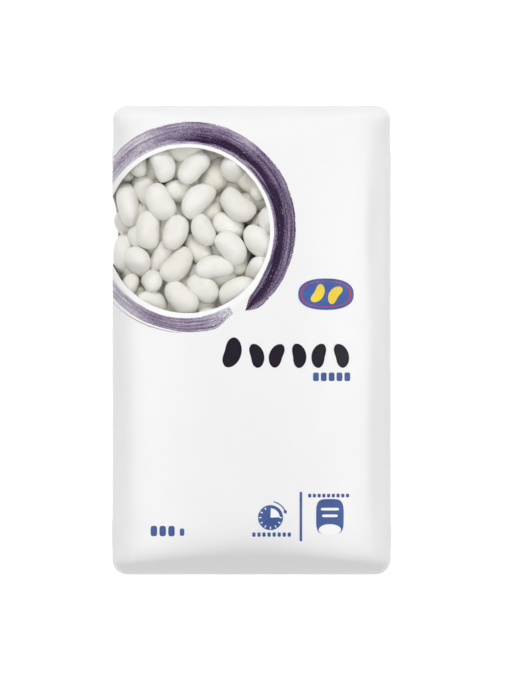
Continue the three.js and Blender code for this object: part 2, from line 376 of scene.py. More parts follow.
@dataclass
class Relief:
    """What the beans and the tension do to the film: lumps, grooves, dents and pleats.

    The pairs of a lump's sizes and a pleat's are ranges to draw from. Other pairs of
    half-sizes and shifts are given round the bag first, then along it. A pair whose
    name ends in _end is where something sets in and is full, inwards from an end.
    """

    film: Film
    seed: int = 41
    lump_pitch: float = 13.0
    lump_squeeze: float = 0.8  # of the pitch along the bag
    lump_scatter: tuple[float, float] = (4.0, 3.5)  # round the bag and along it
    lump_half_length: tuple[float, float] = (7.5, 9.5)
    lump_half_width: tuple[float, float] = (4.8, 6.2)
    lump_strength: tuple[float, float] = (0.55, 1.0)
    lump_reach: float = 16.0
    lump_sharpness: float = 4.0
    lump_middle: float = 0.5  # share of a crown that stays within the plain form
    lump_height_front: float = 0.10
    lump_height_side: float = 0.22
    lump_fade: float = 30.0
    lump_end: tuple[float, float] = (1.0, 9.0)
    grooves: tuple[Groove, ...] = (
        Groove(side=-1, inset=12.0, y=-30.0, half_height=38.0),
        Groove(side=1, inset=17.0, y=-44.0, half_height=38.0),
        Groove(side=1, inset=18.5, y=50.0, half_height=26.0),
    )
    groove_half_width: float = 4.5
    groove_depth: float = 1.15
    dents: tuple[Dent, ...] = (
        Dent(side=-1, end=1, inset=15.0, share=1.0),
        Dent(side=1, end=1, inset=16.0, share=1.0),
        Dent(side=-1, end=-1, inset=13.0, share=0.2),
        Dent(side=1, end=-1, inset=12.0, share=0.2),
    )
    dent_from_side: float = 9.0
    dent_half: tuple[float, float] = (6.0, 9.0)
    dent_depth: float = 1.9
    fold_slope: float = 0.8
    fold_scale: float = 1.28  # about the length of a step of 1 along that slope
    fold_half_width: float = 3.2
    fold_shift: float = -2.0
    fold_half_length: float = 14.0
    fold_height: float = 0.55
    corner_shift: tuple[float, float] = (-4.0, -7.0)
    corner_half: tuple[float, float] = (5.5, 16.0)
    corner_height: float = 1.1
    shape_end: tuple[float, float] = (0.3, 4.0)
    pleat_waves: int = 5
    pleat_pitch: tuple[float, float] = (0.55, 1.1)  # radians for each millimetre
    pleat_strength: tuple[float, float] = (0.5, 1.0)
    pleat_shift: float = 9.0
    pleat_height: float = 0.35
    pleat_rise_end: tuple[float, float] = (0.5, 3.0)
    pleat_fade_end: tuple[float, float] = (4.0, 17.0)  # where they run out again
    back_turn: tuple[float, float] = (8.0, 24.0)  # past the side, where the flat back sets in
    back_inset: float = 0.25  # which leaves room for the back seam on the table
    back_end: tuple[float, float] = (6.0, 14.0)

    def __post_init__(self) -> None:
        """Scatter the beans that press on the film from inside."""
        rng = random.Random(self.seed)
        film = self.film
        reach = film.front_reach + film.back_reach
        girths = np.arange(-1, 1, self.lump_pitch / reach)
        ys = np.arange(-film.half_length, film.half_length, self.lump_pitch * self.lump_squeeze)
        aside, along = self.lump_scatter
        self.lumps = [
            Lump(
                girth=share * reach + rng.uniform(-aside, aside),
                y=y + rng.uniform(-along, along),
                turn=rng.uniform(0, math.pi),
                half_length=rng.uniform(*self.lump_half_length),
                half_width=rng.uniform(*self.lump_half_width),
                strength=rng.uniform(*self.lump_strength),
            )
            for share in girths
            for y in ys
        ]
        self.waves = [
            (
                rng.uniform(*self.pleat_pitch),
                rng.uniform(0, 2 * math.pi),
                rng.uniform(*self.pleat_strength),
            )
            for _ in range(self.pleat_waves)
        ]

    def crowns(self, girth: np.ndarray, y: np.ndarray) -> np.ndarray:
        """Return the beans' crowns under the taut film, from 0 to about 1."""
        total = np.zeros_like(girth)
        for lump in self.lumps:
            aside, along = girth - lump.girth, y - lump.y
            near = (np.abs(aside) < self.lump_reach) & (np.abs(along) < self.lump_reach)
            if not near.any():
                continue
            aside, along = aside[near], along[near]
            c, s = math.cos(lump.turn), math.sin(lump.turn)
            u = (aside * c + along * s) / lump.half_length
            v = (along * c - aside * s) / lump.half_width
            total[near] += (lump.strength * np.exp(-(u**2) - v**2)) ** self.lump_sharpness
        return total ** (1 / self.lump_sharpness)

    def _grooves(self, girth: np.ndarray, y: np.ndarray) -> np.ndarray:
        """Return the soft upright grooves where the front turns down to the sides."""
        reach = self.film.front_reach
        pressed = sum(
            bell(girth, groove.side * (reach - groove.inset), self.groove_half_width)
            * bell(y, groove.y, groove.half_height)
            for groove in self.grooves
        )
        return -self.groove_depth * pressed

    def _dents(self, girth: np.ndarray, y: np.ndarray) -> np.ndarray:
        """Return the dents near the corners, their folds, and the full film beside shallow ones."""
        total = np.zeros_like(girth)
        for dent in self.dents:
            aside = dent.side * girth - (self.film.front_reach - self.dent_from_side)
            along = dent.end * y - (self.film.half_length - dent.inset)
            pressed = bell(aside, 0, self.dent_half[0]) * bell(along, 0, self.dent_half[1])
            across_fold = (aside + along * self.fold_slope) / self.fold_scale
            along_fold = (along - aside * self.fold_slope) / self.fold_scale
            folded = bell(across_fold, 0, self.fold_half_width)
            folded = folded * bell(along_fold, self.fold_shift, self.fold_half_length)
            full = bell(aside, self.corner_shift[0], self.corner_half[0])
            full = full * bell(along, self.corner_shift[1], self.corner_half[1])
            total += self.fold_height * folded - dent.share * self.dent_depth * pressed
            total += (1 - dent.share) * self.corner_height * full
        return total

    def _pleats(self, girth: np.ndarray, y: np.ndarray) -> np.ndarray:
        """Return the short pleats that gather the film into the end seals."""
        inwards = self.film.half_length - np.abs(y)
        fading = smooth(inwards, *self.pleat_rise_end) * (1 - smooth(inwards, *self.pleat_fade_end))
        wave = sum(
            strength * np.sin(girth * pitch + phase + np.sign(y) * pitch * self.pleat_shift)
            for pitch, phase, strength in self.waves
        )
        return self.pleat_height * fading * wave / len(self.waves)

    def at(self, girth: np.ndarray, y: np.ndarray) -> np.ndarray:
        """Return how far the film stands out of its plain form, in millimetres.

        Args:
            girth: Girth of each place.
            y: Its y.

        Returns:
            The relief, negative inwards.
        """
        girth, y = np.broadcast_arrays(np.asarray(girth, float), np.asarray(y, float))
        past_side = np.abs(girth) - self.film.front_reach
        inwards = self.film.half_length - np.abs(y)
        aside = smooth(past_side, -self.lump_fade, 0.0)
        height = self.lump_height_front + (self.lump_height_side - self.lump_height_front) * aside
        lumps = height * (self.crowns(girth, y) - self.lump_middle) * smooth(inwards, *self.lump_end)
        behind = smooth(past_side, *self.back_turn)
        shaped = (self._grooves(girth, y) + self._dents(girth, y)) * smooth(inwards, *self.shape_end)
        free = lumps + shaped * (1 - behind) + self._pleats(girth, y)
        flat_back = np.minimum(free, 0.0) - self.back_inset * smooth(inwards, *self.back_end)
        return free * (1 - behind) + flat_back * behind


@dataclass
class Skin:
    """The film with its relief, and the flat drawing that is printed on it.

    The drawing's x is what is seen from the front. Past the left or right side
    it runs on round the bag.
    """

    film: Film
    relief: Relief
    side_run: float = 4.88  # girth past the side for the root of each millimetre of drawing

    def girth_of(self, x: np.ndarray | float) -> np.ndarray:
        """Return the girth of a place in the drawing, also past the sides."""
        x = np.asarray(x, float)
        past = np.maximum(0.0, np.abs(x) - self.film.half_width)
        on_front = self.film.girth_at(np.clip(x, -self.film.half_width, self.film.half_width))
        return on_front + np.sign(x) * self.side_run * np.sqrt(past)

    def drawn_x(self, girth: np.ndarray) -> np.ndarray:
        """Return the drawing's x at a girth, also past the sides."""
        past = np.maximum(0.0, np.abs(girth) - self.film.front_reach)
        x, _ = self.film.section(np.clip(girth, -self.film.front_reach, self.film.front_reach))
        return x + np.sign(girth) * (past / self.side_run) ** 2

    def place(self, girth: np.ndarray, y: np.ndarray, lift: np.ndarray | float = 0.0) -> Points:
        """Return places that stand off the relief by lift."""
        return self.film.lifted(girth, y, self.relief.at(girth, y) + lift)

    def place_drawn(self, x: np.ndarray, y: np.ndarray, lift: float) -> Points:
        """Return places of the printed drawing, just off the film."""
        return self.place(self.girth_of(x), y, lift)


# ---- Node groups and finishes -------------------------------------------


class Nodes:
    """Adds nodes to a material's or a group's tree and joins them."""

    MIX_INPUTS = (0, 6, 7)  # the numbers of the share and of both colours on a Mix node
    MIX_RESULT = 2

    def __init__(self, tree: bpy.types.NodeTree) -> None:
        """Keep the tree that is built."""
        self.tree = tree

    def add(self, kind: str, inputs: dict | None = None, **settings: object) -> bpy.types.Node:
        """Add a node.

        Args:
            kind: The node's type.
            inputs: Values, or sockets to join, by the name or number of an input.
            settings: The node's own settings.

        Returns:
            The new node.
        """
        node = self.tree.nodes.new(kind)
        for name, value in settings.items():
            setattr(node, name, value)
        for name, value in (inputs or {}).items():
            if isinstance(value, Socket):
                self.tree.links.new(value, node.inputs[name])
            else:
                node.inputs[name].default_value = value
        return node

    def math(self, operation: str, *values: object) -> Socket:
        """Add a Math node on numbers or sockets and return its result."""
        node = self.add("ShaderNodeMath", dict(enumerate(values)), operation=operation)
        return node.outputs[0]

    def mix(self, share: object, first: object, second: object, blend: str = "MIX") -> Socket:
        """Mix two colours.

        Args:
            share: How much of the second one shows.
            first: The first colour or socket.
            second: The second colour or socket.
            blend: How they mix.

        Returns:
            The mixed colour.
        """
        node = self.add("ShaderNodeMix", data_type="RGBA", blend_type=blend)
        for number, value in zip(self.MIX_INPUTS, (share, first, second), strict=True):
            if isinstance(value, Socket):
                self.tree.links.new(value, node.inputs[number])
            elif isinstance(value, tuple):
                node.inputs[number].default_value = (*value, 1.0)
            else:
                node.inputs[number].default_value = value
        return node.outputs[self.MIX_RESULT]

    def ramp(self, value: Socket, stops: Sequence[tuple[float, Colour]]) -> Socket:
        """Turn a value into a colour.

        Args:
            value: The value, from 0 to 1.
            stops: Places and colours, in order.

        Returns:
            The colour.
        """
        node = self.add("ShaderNodeValToRGB", {"Fac": value})
        elements = node.color_ramp.elements
        while len(elements) < len(stops):
            elements.new(0.5)
        for element, (place, colour) in zip(elements, stops, strict=True):
            element.position = place
            element.color = (*colour, 1.0)
        return node.outputs["Color"]

    def step(self, value: object, low: float, high: float) -> Socket:
        """Rise smoothly from 0 at low to 1 at high, or fall where high is the lower one."""
        node = self.add(
            "ShaderNodeMapRange",
            {"Value": value, "From Min": low, "From Max": high},
            interpolation_type="SMOOTHSTEP",
        )
        return node.outputs["Result"]

    def noise(self, place: Socket, scale: object, detail: float = 2.0) -> Socket:
        """Add a noise of a given scale at a place and return its value."""
        node = self.add("ShaderNodeTexNoise", {"Vector": place, "Scale": scale, "Detail": detail})
        return node.outputs["Fac"]


class SocketKind(Enum):
    """The kinds of socket that the node groups have."""

    NUMBER = "NodeSocketFloat"
    VECTOR = "NodeSocketVector"
    COLOUR = "NodeSocketColor"


def new_group(
    name: str,
    inputs: Sequence[tuple[str, SocketKind, object]],
    outputs: Sequence[tuple[str, SocketKind]],
) -> tuple[bpy.types.NodeTree, Nodes, bpy.types.Node, bpy.types.Node]:
    """Start a shader node group with named sockets.

    Args:
        name: The group's name.
        inputs: Name, kind and default value of each input.
        outputs: Name and kind of each output.

    Returns:
        The group, its builder, and its input and output nodes.
    """
    group = bpy.data.node_groups.new(name, "ShaderNodeTree")
    for label, kind, default in inputs:
        socket = group.interface.new_socket(label, in_out="INPUT", socket_type=kind.value)
        if default is not None:
            socket.default_value = default
    for label, kind in outputs:
        group.interface.new_socket(label, in_out="OUTPUT", socket_type=kind.value)
    nodes = Nodes(group)
    return group, nodes, nodes.add("NodeGroupInput"), nodes.add("NodeGroupOutput")


@dataclass
class SharedEffects:
    """Node groups that more than one finish uses, each built once.

    The grain's broad part has a scale and a height that are shares of the fine part's.
    """

    mottle_detail: float = 3.0
    mottle_step: tuple[float, float] = (0.3, 0.7)
    fine_detail: float = 4.0
    broad_detail: float = 2.0
    broad_scale: float = 0.13
    broad_height: float = 0.6

    def __post_init__(self) -> None:
        """Build the groups."""
        self.mottle = self._mottle()
        self.fine_grain = self._fine_grain()

    def _mottle(self) -> bpy.types.NodeTree:
        """Make the group that lets a colour drift between two shades."""
        group, nodes, given, result = new_group(
            "mottle",
            [
                ("Place", SocketKind.VECTOR, None),
                ("Scale", SocketKind.NUMBER, 60.0),
                ("Light", SocketKind.COLOUR, (0.9, 0.9, 0.9, 1.0)),
                ("Dark", SocketKind.COLOUR, (0.8, 0.8, 0.8, 1.0)),
            ],
            [("Colour", SocketKind.COLOUR)],
        )
        broad = nodes.noise(given.outputs["Place"], given.outputs["Scale"], self.mottle_detail)
        mask = nodes.step(broad, *self.mottle_step)
        colour = nodes.mix(mask, given.outputs["Light"], given.outputs["Dark"])
        group.links.new(colour, result.inputs["Colour"])
        return group

    def _fine_grain(self) -> bpy.types.NodeTree:
        """Make the group that gives a fine relief and a gloss that varies a little."""
        group, nodes, given, result = new_group(
            "fine_grain",
            [
                ("Place", SocketKind.VECTOR, None),
                ("Scale", SocketKind.NUMBER, 400.0),
                ("Roughness", SocketKind.NUMBER, 0.4),
                ("Variation", SocketKind.NUMBER, 0.1),
            ],
            [("Height", SocketKind.NUMBER), ("Roughness", SocketKind.NUMBER)],
        )
        place, scale = given.outputs["Place"], given.outputs["Scale"]
        fine = nodes.noise(place, scale, self.fine_detail)
        broad = nodes.noise(place, nodes.math("MULTIPLY", scale, self.broad_scale), self.broad_detail)
        drift = nodes.math("MULTIPLY", nodes.math("SUBTRACT", broad, 0.5), given.outputs["Variation"])
        roughness = nodes.math("ADD", given.outputs["Roughness"], drift)
        height = nodes.math("ADD", fine, nodes.math("MULTIPLY", broad, self.broad_height))
        group.links.new(roughness, result.inputs["Roughness"])
        group.links.new(height, result.inputs["Height"])
        return group


@dataclass(frozen=True)
class Finish:
    """A surface with a drifting colour, fine relief and a gloss that varies."""

    name: str
    roughness: float
    light: Colour = (1.0, 1.0, 1.0)
    dark: Colour = (1.0, 1.0, 1.0)
    mottle_scale: float = 60.0
    grain_scale: float = 900.0
    grain_height: float = 0.004  # in millimetres
    variation: float = 0.12
    gloss: float = 0.5  # the shader's Specular IOR Level

    def start(self) -> tuple[bpy.types.Material, Nodes, bpy.types.Node]:
        """Make an empty material with its shader.

        Returns:
            The material, its builder and its Principled shader.
        """
        material = bpy.data.materials.new(self.name)
        material.use_nodes = True
        material.node_tree.nodes.clear()
        nodes = Nodes(material.node_tree)
        values = {"Roughness": self.roughness, "Specular IOR Level": self.gloss}
        shader = nodes.add("ShaderNodeBsdfPrincipled", values)
        nodes.add("ShaderNodeOutputMaterial", {"Surface": shader.outputs["BSDF"]})
        return material, nodes, shader

    def colour(self, nodes: Nodes, effects: SharedEffects, place: Socket) -> Socket:
        """Add the drifting colour and return it."""
        values = {
            "Place": place,
            "Scale": self.mottle_scale,
            "Light": (*self.light, 1.0),
            "Dark": (*self.dark, 1.0),
        }
        return nodes.add("ShaderNodeGroup", values, node_tree=effects.mottle).outputs["Colour"]

    def surface(
        self, nodes: Nodes, effects: SharedEffects, place: Socket, shader: bpy.types.Node
    ) -> None:
        """Add the fine relief and the gloss to a shader.

        Args:
            nodes: The material's builder.
            effects: The shared groups.
            place: Where the grain is read.
            shader: The shader that gets them.
        """
        values = {
            "Place": place,
            "Scale": self.grain_scale,
            "Roughness": self.roughness,
            "Variation": self.variation,
        }
        grain = nodes.add("ShaderNodeGroup", values, node_tree=effects.fine_grain)
        relief = {"Height": grain.outputs["Height"], "Distance": self.grain_height * MM}
        bump = nodes.add("ShaderNodeBump", relief)
        nodes.tree.links.new(grain.outputs["Roughness"], shader.inputs["Roughness"])
        nodes.tree.links.new(bump.outputs["Normal"], shader.inputs["Normal"])

    def build(self, effects: SharedEffects) -> bpy.types.Material:
        """Make the material.

        Args:
            effects: The shared groups.

        Returns:
            The finished material.
        """
        material, nodes, shader = self.start()
        place = nodes.add("ShaderNodeTexCoord").outputs["Object"]
        colour = self.colour(nodes, effects, place)
        nodes.tree.links.new(colour, shader.inputs["Base Color"])
        self.surface(nodes, effects, place, shader)
        return material


@dataclass(frozen=True)
class BeanFinish(Finish):
    """A bean's skin: ivory white, each bean its own shade, with a small tan hilum.

    Tints near 0 are those of the beans in the second layer, whose darker, more olive colour is painted
    shade.
    """

    shades: tuple[tuple[float, Colour], ...] = (
        # The stop at 0 is painted shade for the beans behind the first layer.
        (0.0, (0.77, 0.745, 0.67)),
        (0.35, (0.825, 0.80, 0.735)),
        (1.0, (0.89, 0.88, 0.845)),
    )  # by tint
    hilum: Colour = (0.70, 0.64, 0.50)

    def build(self, effects: SharedEffects) -> bpy.types.Material:
        """Make the material, which reads the tint, skin and hilum of each bean."""
        material, nodes, shader = self.start()
        tint = nodes.add("ShaderNodeAttribute", attribute_name="tint").outputs["Fac"]
        skin = nodes.add("ShaderNodeAttribute", attribute_name="skin").outputs["Vector"]
        spot = nodes.add("ShaderNodeAttribute", attribute_name="hilum").outputs["Fac"]
        shade = nodes.ramp(tint, self.shades)
        mottled = nodes.mix(1.0, shade, self.colour(nodes, effects, skin), "MULTIPLY")
        nodes.tree.links.new(nodes.mix(spot, mottled, self.hilum), shader.inputs["Base Color"])
        self.surface(nodes, effects, skin, shader)
        return material


@dataclass(frozen=True)
class Streaks:
    """A noise that is drawn out along a stroke: its scale each way and its weight in the tone."""

    along: float
    across: float
    weight: float


@dataclass(frozen=True)
class Rise:
    """A smooth step from 0 at low to 1 at high, and its weight in a sum."""

    low: float
    high: float
    weight: float = 1.0


@dataclass(frozen=True)
class BrushFinish(Finish):
    """Ink that a wide brush left: long streaks, a dark wet lane and dry, ragged edges.

    The stroke's UV map gives hundreds of degrees along it, from the right side over
    the top, and the share of its breadth, from the inner edge to the outer one.
    """

    tones: tuple[tuple[float, Colour], ...] = (
        (0.0, (0.872, 0.872, 0.872)),
        (0.1, (0.72, 0.70, 0.74)),
        (0.25, (0.47, 0.435, 0.51)),
        (0.5, (0.275, 0.218, 0.315)),
        (0.7, (0.150, 0.108, 0.195)),
        (0.85, (0.070, 0.042, 0.100)),
        (1.0, (0.020, 0.007, 0.034)),
    )  # by density
    palest: float = 0.15
    wash: Streaks = Streaks(along=5.0, across=1.6, weight=0.55)
    bands: Streaks = Streaks(along=2.6, across=8.0, weight=1.1)
    bristles: Streaks = Streaks(along=4.5, across=34.0, weight=0.75)
    streak_detail: float = 3.0
    speck_scale: float = 1500.0
    speck_weight: float = 0.85
    base_load: float = 0.27
    wet: Rise = Rise(1.30, 0.75, 0.38)
    loads: tuple[Rise, ...] = (Rise(0.60, 0.25, 0.10), Rise(2.15, 2.55, 0.29))  # along
    edge_tones: tuple[Rise, ...] = (
        Rise(0.16, 0.0, -0.22),
        Rise(0.70, 0.92, -0.12),
        Rise(0.90, 0.97, 0.16),
    )  # across
    lane_weight: float = 0.36
    lane_shift: Rise = Rise(-0.15, -0.5, -0.17)
    lane_wander: tuple[float, float] = (0.45, 0.25)  # with the bands and with the bristles
    lane_inner: Rise = Rise(0.11, 0.17)
    lane_outer: Rise = Rise(0.55, 0.40)
    dry_inner: Rise = Rise(0.05, 0.0)
    dry_outer: Rise = Rise(0.93, 1.0)
    dry_ending: Rise = Rise(2.66, 2.97, 0.9)
    dry_bristles: float = 2.4
    dry_specks: float = 1.3
    dry_edge: float = 0.55
    dry_loads: tuple[Rise, ...] = (Rise(1.05, 1.35, -0.3), Rise(2.0, 2.3, 0.3))  # along
    dry_limit: Rise = Rise(0.47, 0.60)

    def build(self, effects: SharedEffects) -> bpy.types.Material:
        """Make the material."""
        material, nodes, shader = self.start()
        stroke = nodes.add("ShaderNodeUVMap", uv_map="stroke").outputs["UV"]
        parts = nodes.add("ShaderNodeSeparateXYZ", {"Vector": stroke})
        along, across = parts.outputs["X"], parts.outputs["Y"]
        place = nodes.add("ShaderNodeTexCoord").outputs["Object"]
        wash, bands, bristles = (
            self._streaks(nodes, stroke, streaks) for streaks in (self.wash, self.bands, self.bristles)
        )
        specks = self._centred(nodes, nodes.noise(place, self.speck_scale))
        wet = self._rise(nodes, along, self.wet)
        lane = nodes.math("MULTIPLY", self._lane(nodes, along, across, bands, bristles), wet)
        load = self._sum(
            nodes,
            (wet, self.wet.weight),
            *((self._rise(nodes, along, rise), rise.weight) for rise in self.loads),
        )
        tone = self._sum(
            nodes,
            (nodes.math("ADD", load, self.base_load), 1.0),
            (lane, self.lane_weight),
            (wash, self.wash.weight),
            (bands, self.bands.weight),
            (bristles, self.bristles.weight),
            (specks, self.speck_weight),
            *((self._rise(nodes, across, rise), rise.weight) for rise in self.edge_tones),
        )
        inked = nodes.math("SUBTRACT", 1.0, self._dry(nodes, along, across, bristles, specks))
        density = nodes.math("MULTIPLY", nodes.math("MAXIMUM", tone, self.palest), inked)
        nodes.tree.links.new(nodes.ramp(density, self.tones), shader.inputs["Base Color"])
        self.surface(nodes, effects, place, shader)
        return material

    @staticmethod
    def _sum(nodes: Nodes, *terms: tuple[Socket, float]) -> Socket:
        """Add up values, each with its own weight."""
        total = nodes.math("MULTIPLY", *terms[0])
        for value, weight in terms[1:]:
            total = nodes.math("MULTIPLY_ADD", value, weight, total)
        return total

    @staticmethod
    def _rise(nodes: Nodes, value: Socket, rise: Rise) -> Socket:
        """Add a smooth step."""
        return nodes.step(value, rise.low, rise.high)

    @staticmethod
    def _centred(nodes: Nodes, noise: Socket) -> Socket:
        """Shift a noise so that its middle is 0."""
        return nodes.math("SUBTRACT", noise, 0.5)

    def _streaks(self, nodes: Nodes, stroke: Socket, streaks: Streaks) -> Socket:
        """Add a noise that is drawn out along the stroke, with its middle at 0."""
        scale = (streaks.along, streaks.across, 1.0)
        drawn_out = nodes.add("ShaderNodeMapping", {"Vector": stroke, "Scale": scale})
        return self._centred(nodes, nodes.noise(drawn_out.outputs["Vector"], 1.0, self.streak_detail))

    def _lane(
        self, nodes: Nodes, along: Socket, across: Socket, bands: Socket, bristles: Socket
    ) -> Socket:
        """Return the dark wet lane, which runs near the inner edge and wanders a little."""
        lane = self._sum(
            nodes,
            (across, 1.0),
            (bands, self.lane_wander[0]),
            (bristles, self.lane_wander[1]),
            (self._rise(nodes, along, self.lane_shift), self.lane_shift.weight),
        )
        inner = self._rise(nodes, lane, self.lane_inner)
        outer = self._rise(nodes, lane, self.lane_outer)
        return nodes.math("MULTIPLY", inner, outer)

    def _dry(
        self, nodes: Nodes, along: Socket, across: Socket, bristles: Socket, specks: Socket
    ) -> Socket:
        """Return where no ink took: at ragged edges, between bristles and at the lift-off."""
        inner = self._rise(nodes, across, self.dry_inner)
        outer = self._rise(nodes, across, self.dry_outer)
        lifted = self._rise(nodes, along, self.dry_ending)
        ending = nodes.math("MULTIPLY", lifted, self.dry_ending.weight)
        edge = nodes.math("MAXIMUM", nodes.math("MAXIMUM", inner, outer), ending)
        rough = self._sum(
            nodes,
            (bristles, self.dry_bristles),
            (specks, self.dry_specks),
            (edge, self.dry_edge),
            *((self._rise(nodes, along, rise), rise.weight) for rise in self.dry_loads),
        )
        return self._rise(nodes, rough, self.dry_limit)


@dataclass(frozen=True)
class ClearFilmFinish(Finish):
    """A clear film that hardly shows but for a faint haze."""

    alpha: float = 0.02

    def build(self, effects: SharedEffects) -> bpy.types.Material:
        """Make the material, which lets nearly all of the light through."""
        material, nodes, shader = self.start()
        place = nodes.add("ShaderNodeTexCoord").outputs["Object"]
        nodes.tree.links.new(self.colour(nodes, effects, place), shader.inputs["Base Color"])
        self.surface(nodes, effects, place, shader)
        shader.inputs["Alpha"].default_value = self.alpha
        return material


class Ink(Enum):
    """The inks of the print, by name, with the lighter and the darker of their shades."""

    DARK_PURPLE = ((0.011, 0.006, 0.018), (0.007, 0.004, 0.012))
    BLUE = ((0.066, 0.120, 0.330), (0.052, 0.098, 0.290))
    BADGE_BLUE = ((0.058, 0.130, 0.400), (0.046, 0.106, 0.350))
    YELLOW = ((0.900, 0.690, 0.060), (0.850, 0.620, 0.045))
    RED = ((0.620, 0.045, 0.055), (0.540, 0.034, 0.042))
    WHITE = ((0.940, 0.940, 0.940), (0.925, 0.925, 0.925))


class Finishes:
    """Every material of the bag, each built once."""

    def __init__(self) -> None:
        """Build them."""
        effects = SharedEffects()
        self.film = Finish(
            "white_film",
            roughness=0.36,
            light=(0.885, 0.885, 0.885),
            dark=(0.872, 0.872, 0.872),
            mottle_scale=38.0,
        ).build(effects)
        self.seal = Finish(
            "sealed_film",
            roughness=0.42,
            light=(0.875, 0.875, 0.875),
            dark=(0.84, 0.84, 0.84),
            mottle_scale=150.0,
        ).build(effects)
        self.clear = ClearFilmFinish(
            "clear_film", roughness=0.12, light=(0.93, 0.93, 0.93), dark=(0.90, 0.90, 0.90)
        ).build(effects)
        self.bean = BeanFinish(
            "white_bean_skin",
            roughness=0.46,
            dark=(0.95, 0.945, 0.93),
            mottle_scale=220.0,
            grain_scale=1400.0,
            grain_height=0.012,
        ).build(effects)
        # The core's near-black colour is painted shade in the gaps between the beans, not the beans'
        # own colour.
        self.core = Finish(
            "beans_painted_dark_as_shade",
            roughness=0.7,
            light=(0.07, 0.06, 0.038),
            dark=(0.03, 0.025, 0.014),
            mottle_scale=120.0,
        ).build(effects)
        self.brush = BrushFinish("brushed_purple_ink", roughness=0.42, gloss=0.2).build(effects)
        self.inks = {
            ink: Finish(
                f"ink_{ink.name.lower()}",
                roughness=0.38,
                light=ink.value[0],
                dark=ink.value[1],
                mottle_scale=90.0,
                gloss=0.2,
            ).build(effects)
            for ink in Ink
        }


# ---- The bag's film -----------------------------------------------------


@dataclass(frozen=True)
class Window:
    """The round clear window, a circle in the drawing that runs past the left side."""

    x: float = -29.9
    y: float = 51.0
    radius: float = 38.5

    def edge(self, count: int) -> tuple[np.ndarray, np.ndarray]:
        """Return x and y of points along the edge."""
        angle = np.linspace(0, 2 * math.pi, count, endpoint=False)
        return self.x + self.radius * np.cos(angle), self.y + self.radius * np.sin(angle)

    def holds(self, x: np.ndarray, y: np.ndarray) -> np.ndarray:
        """Say which places of the drawing lie inside."""
        return np.hypot(x - self.x, y - self.y) < self.radius


class End(Enum):
    """The bag's two ends, by the sign of their y."""

    TOP = 1
    BOTTOM = -1


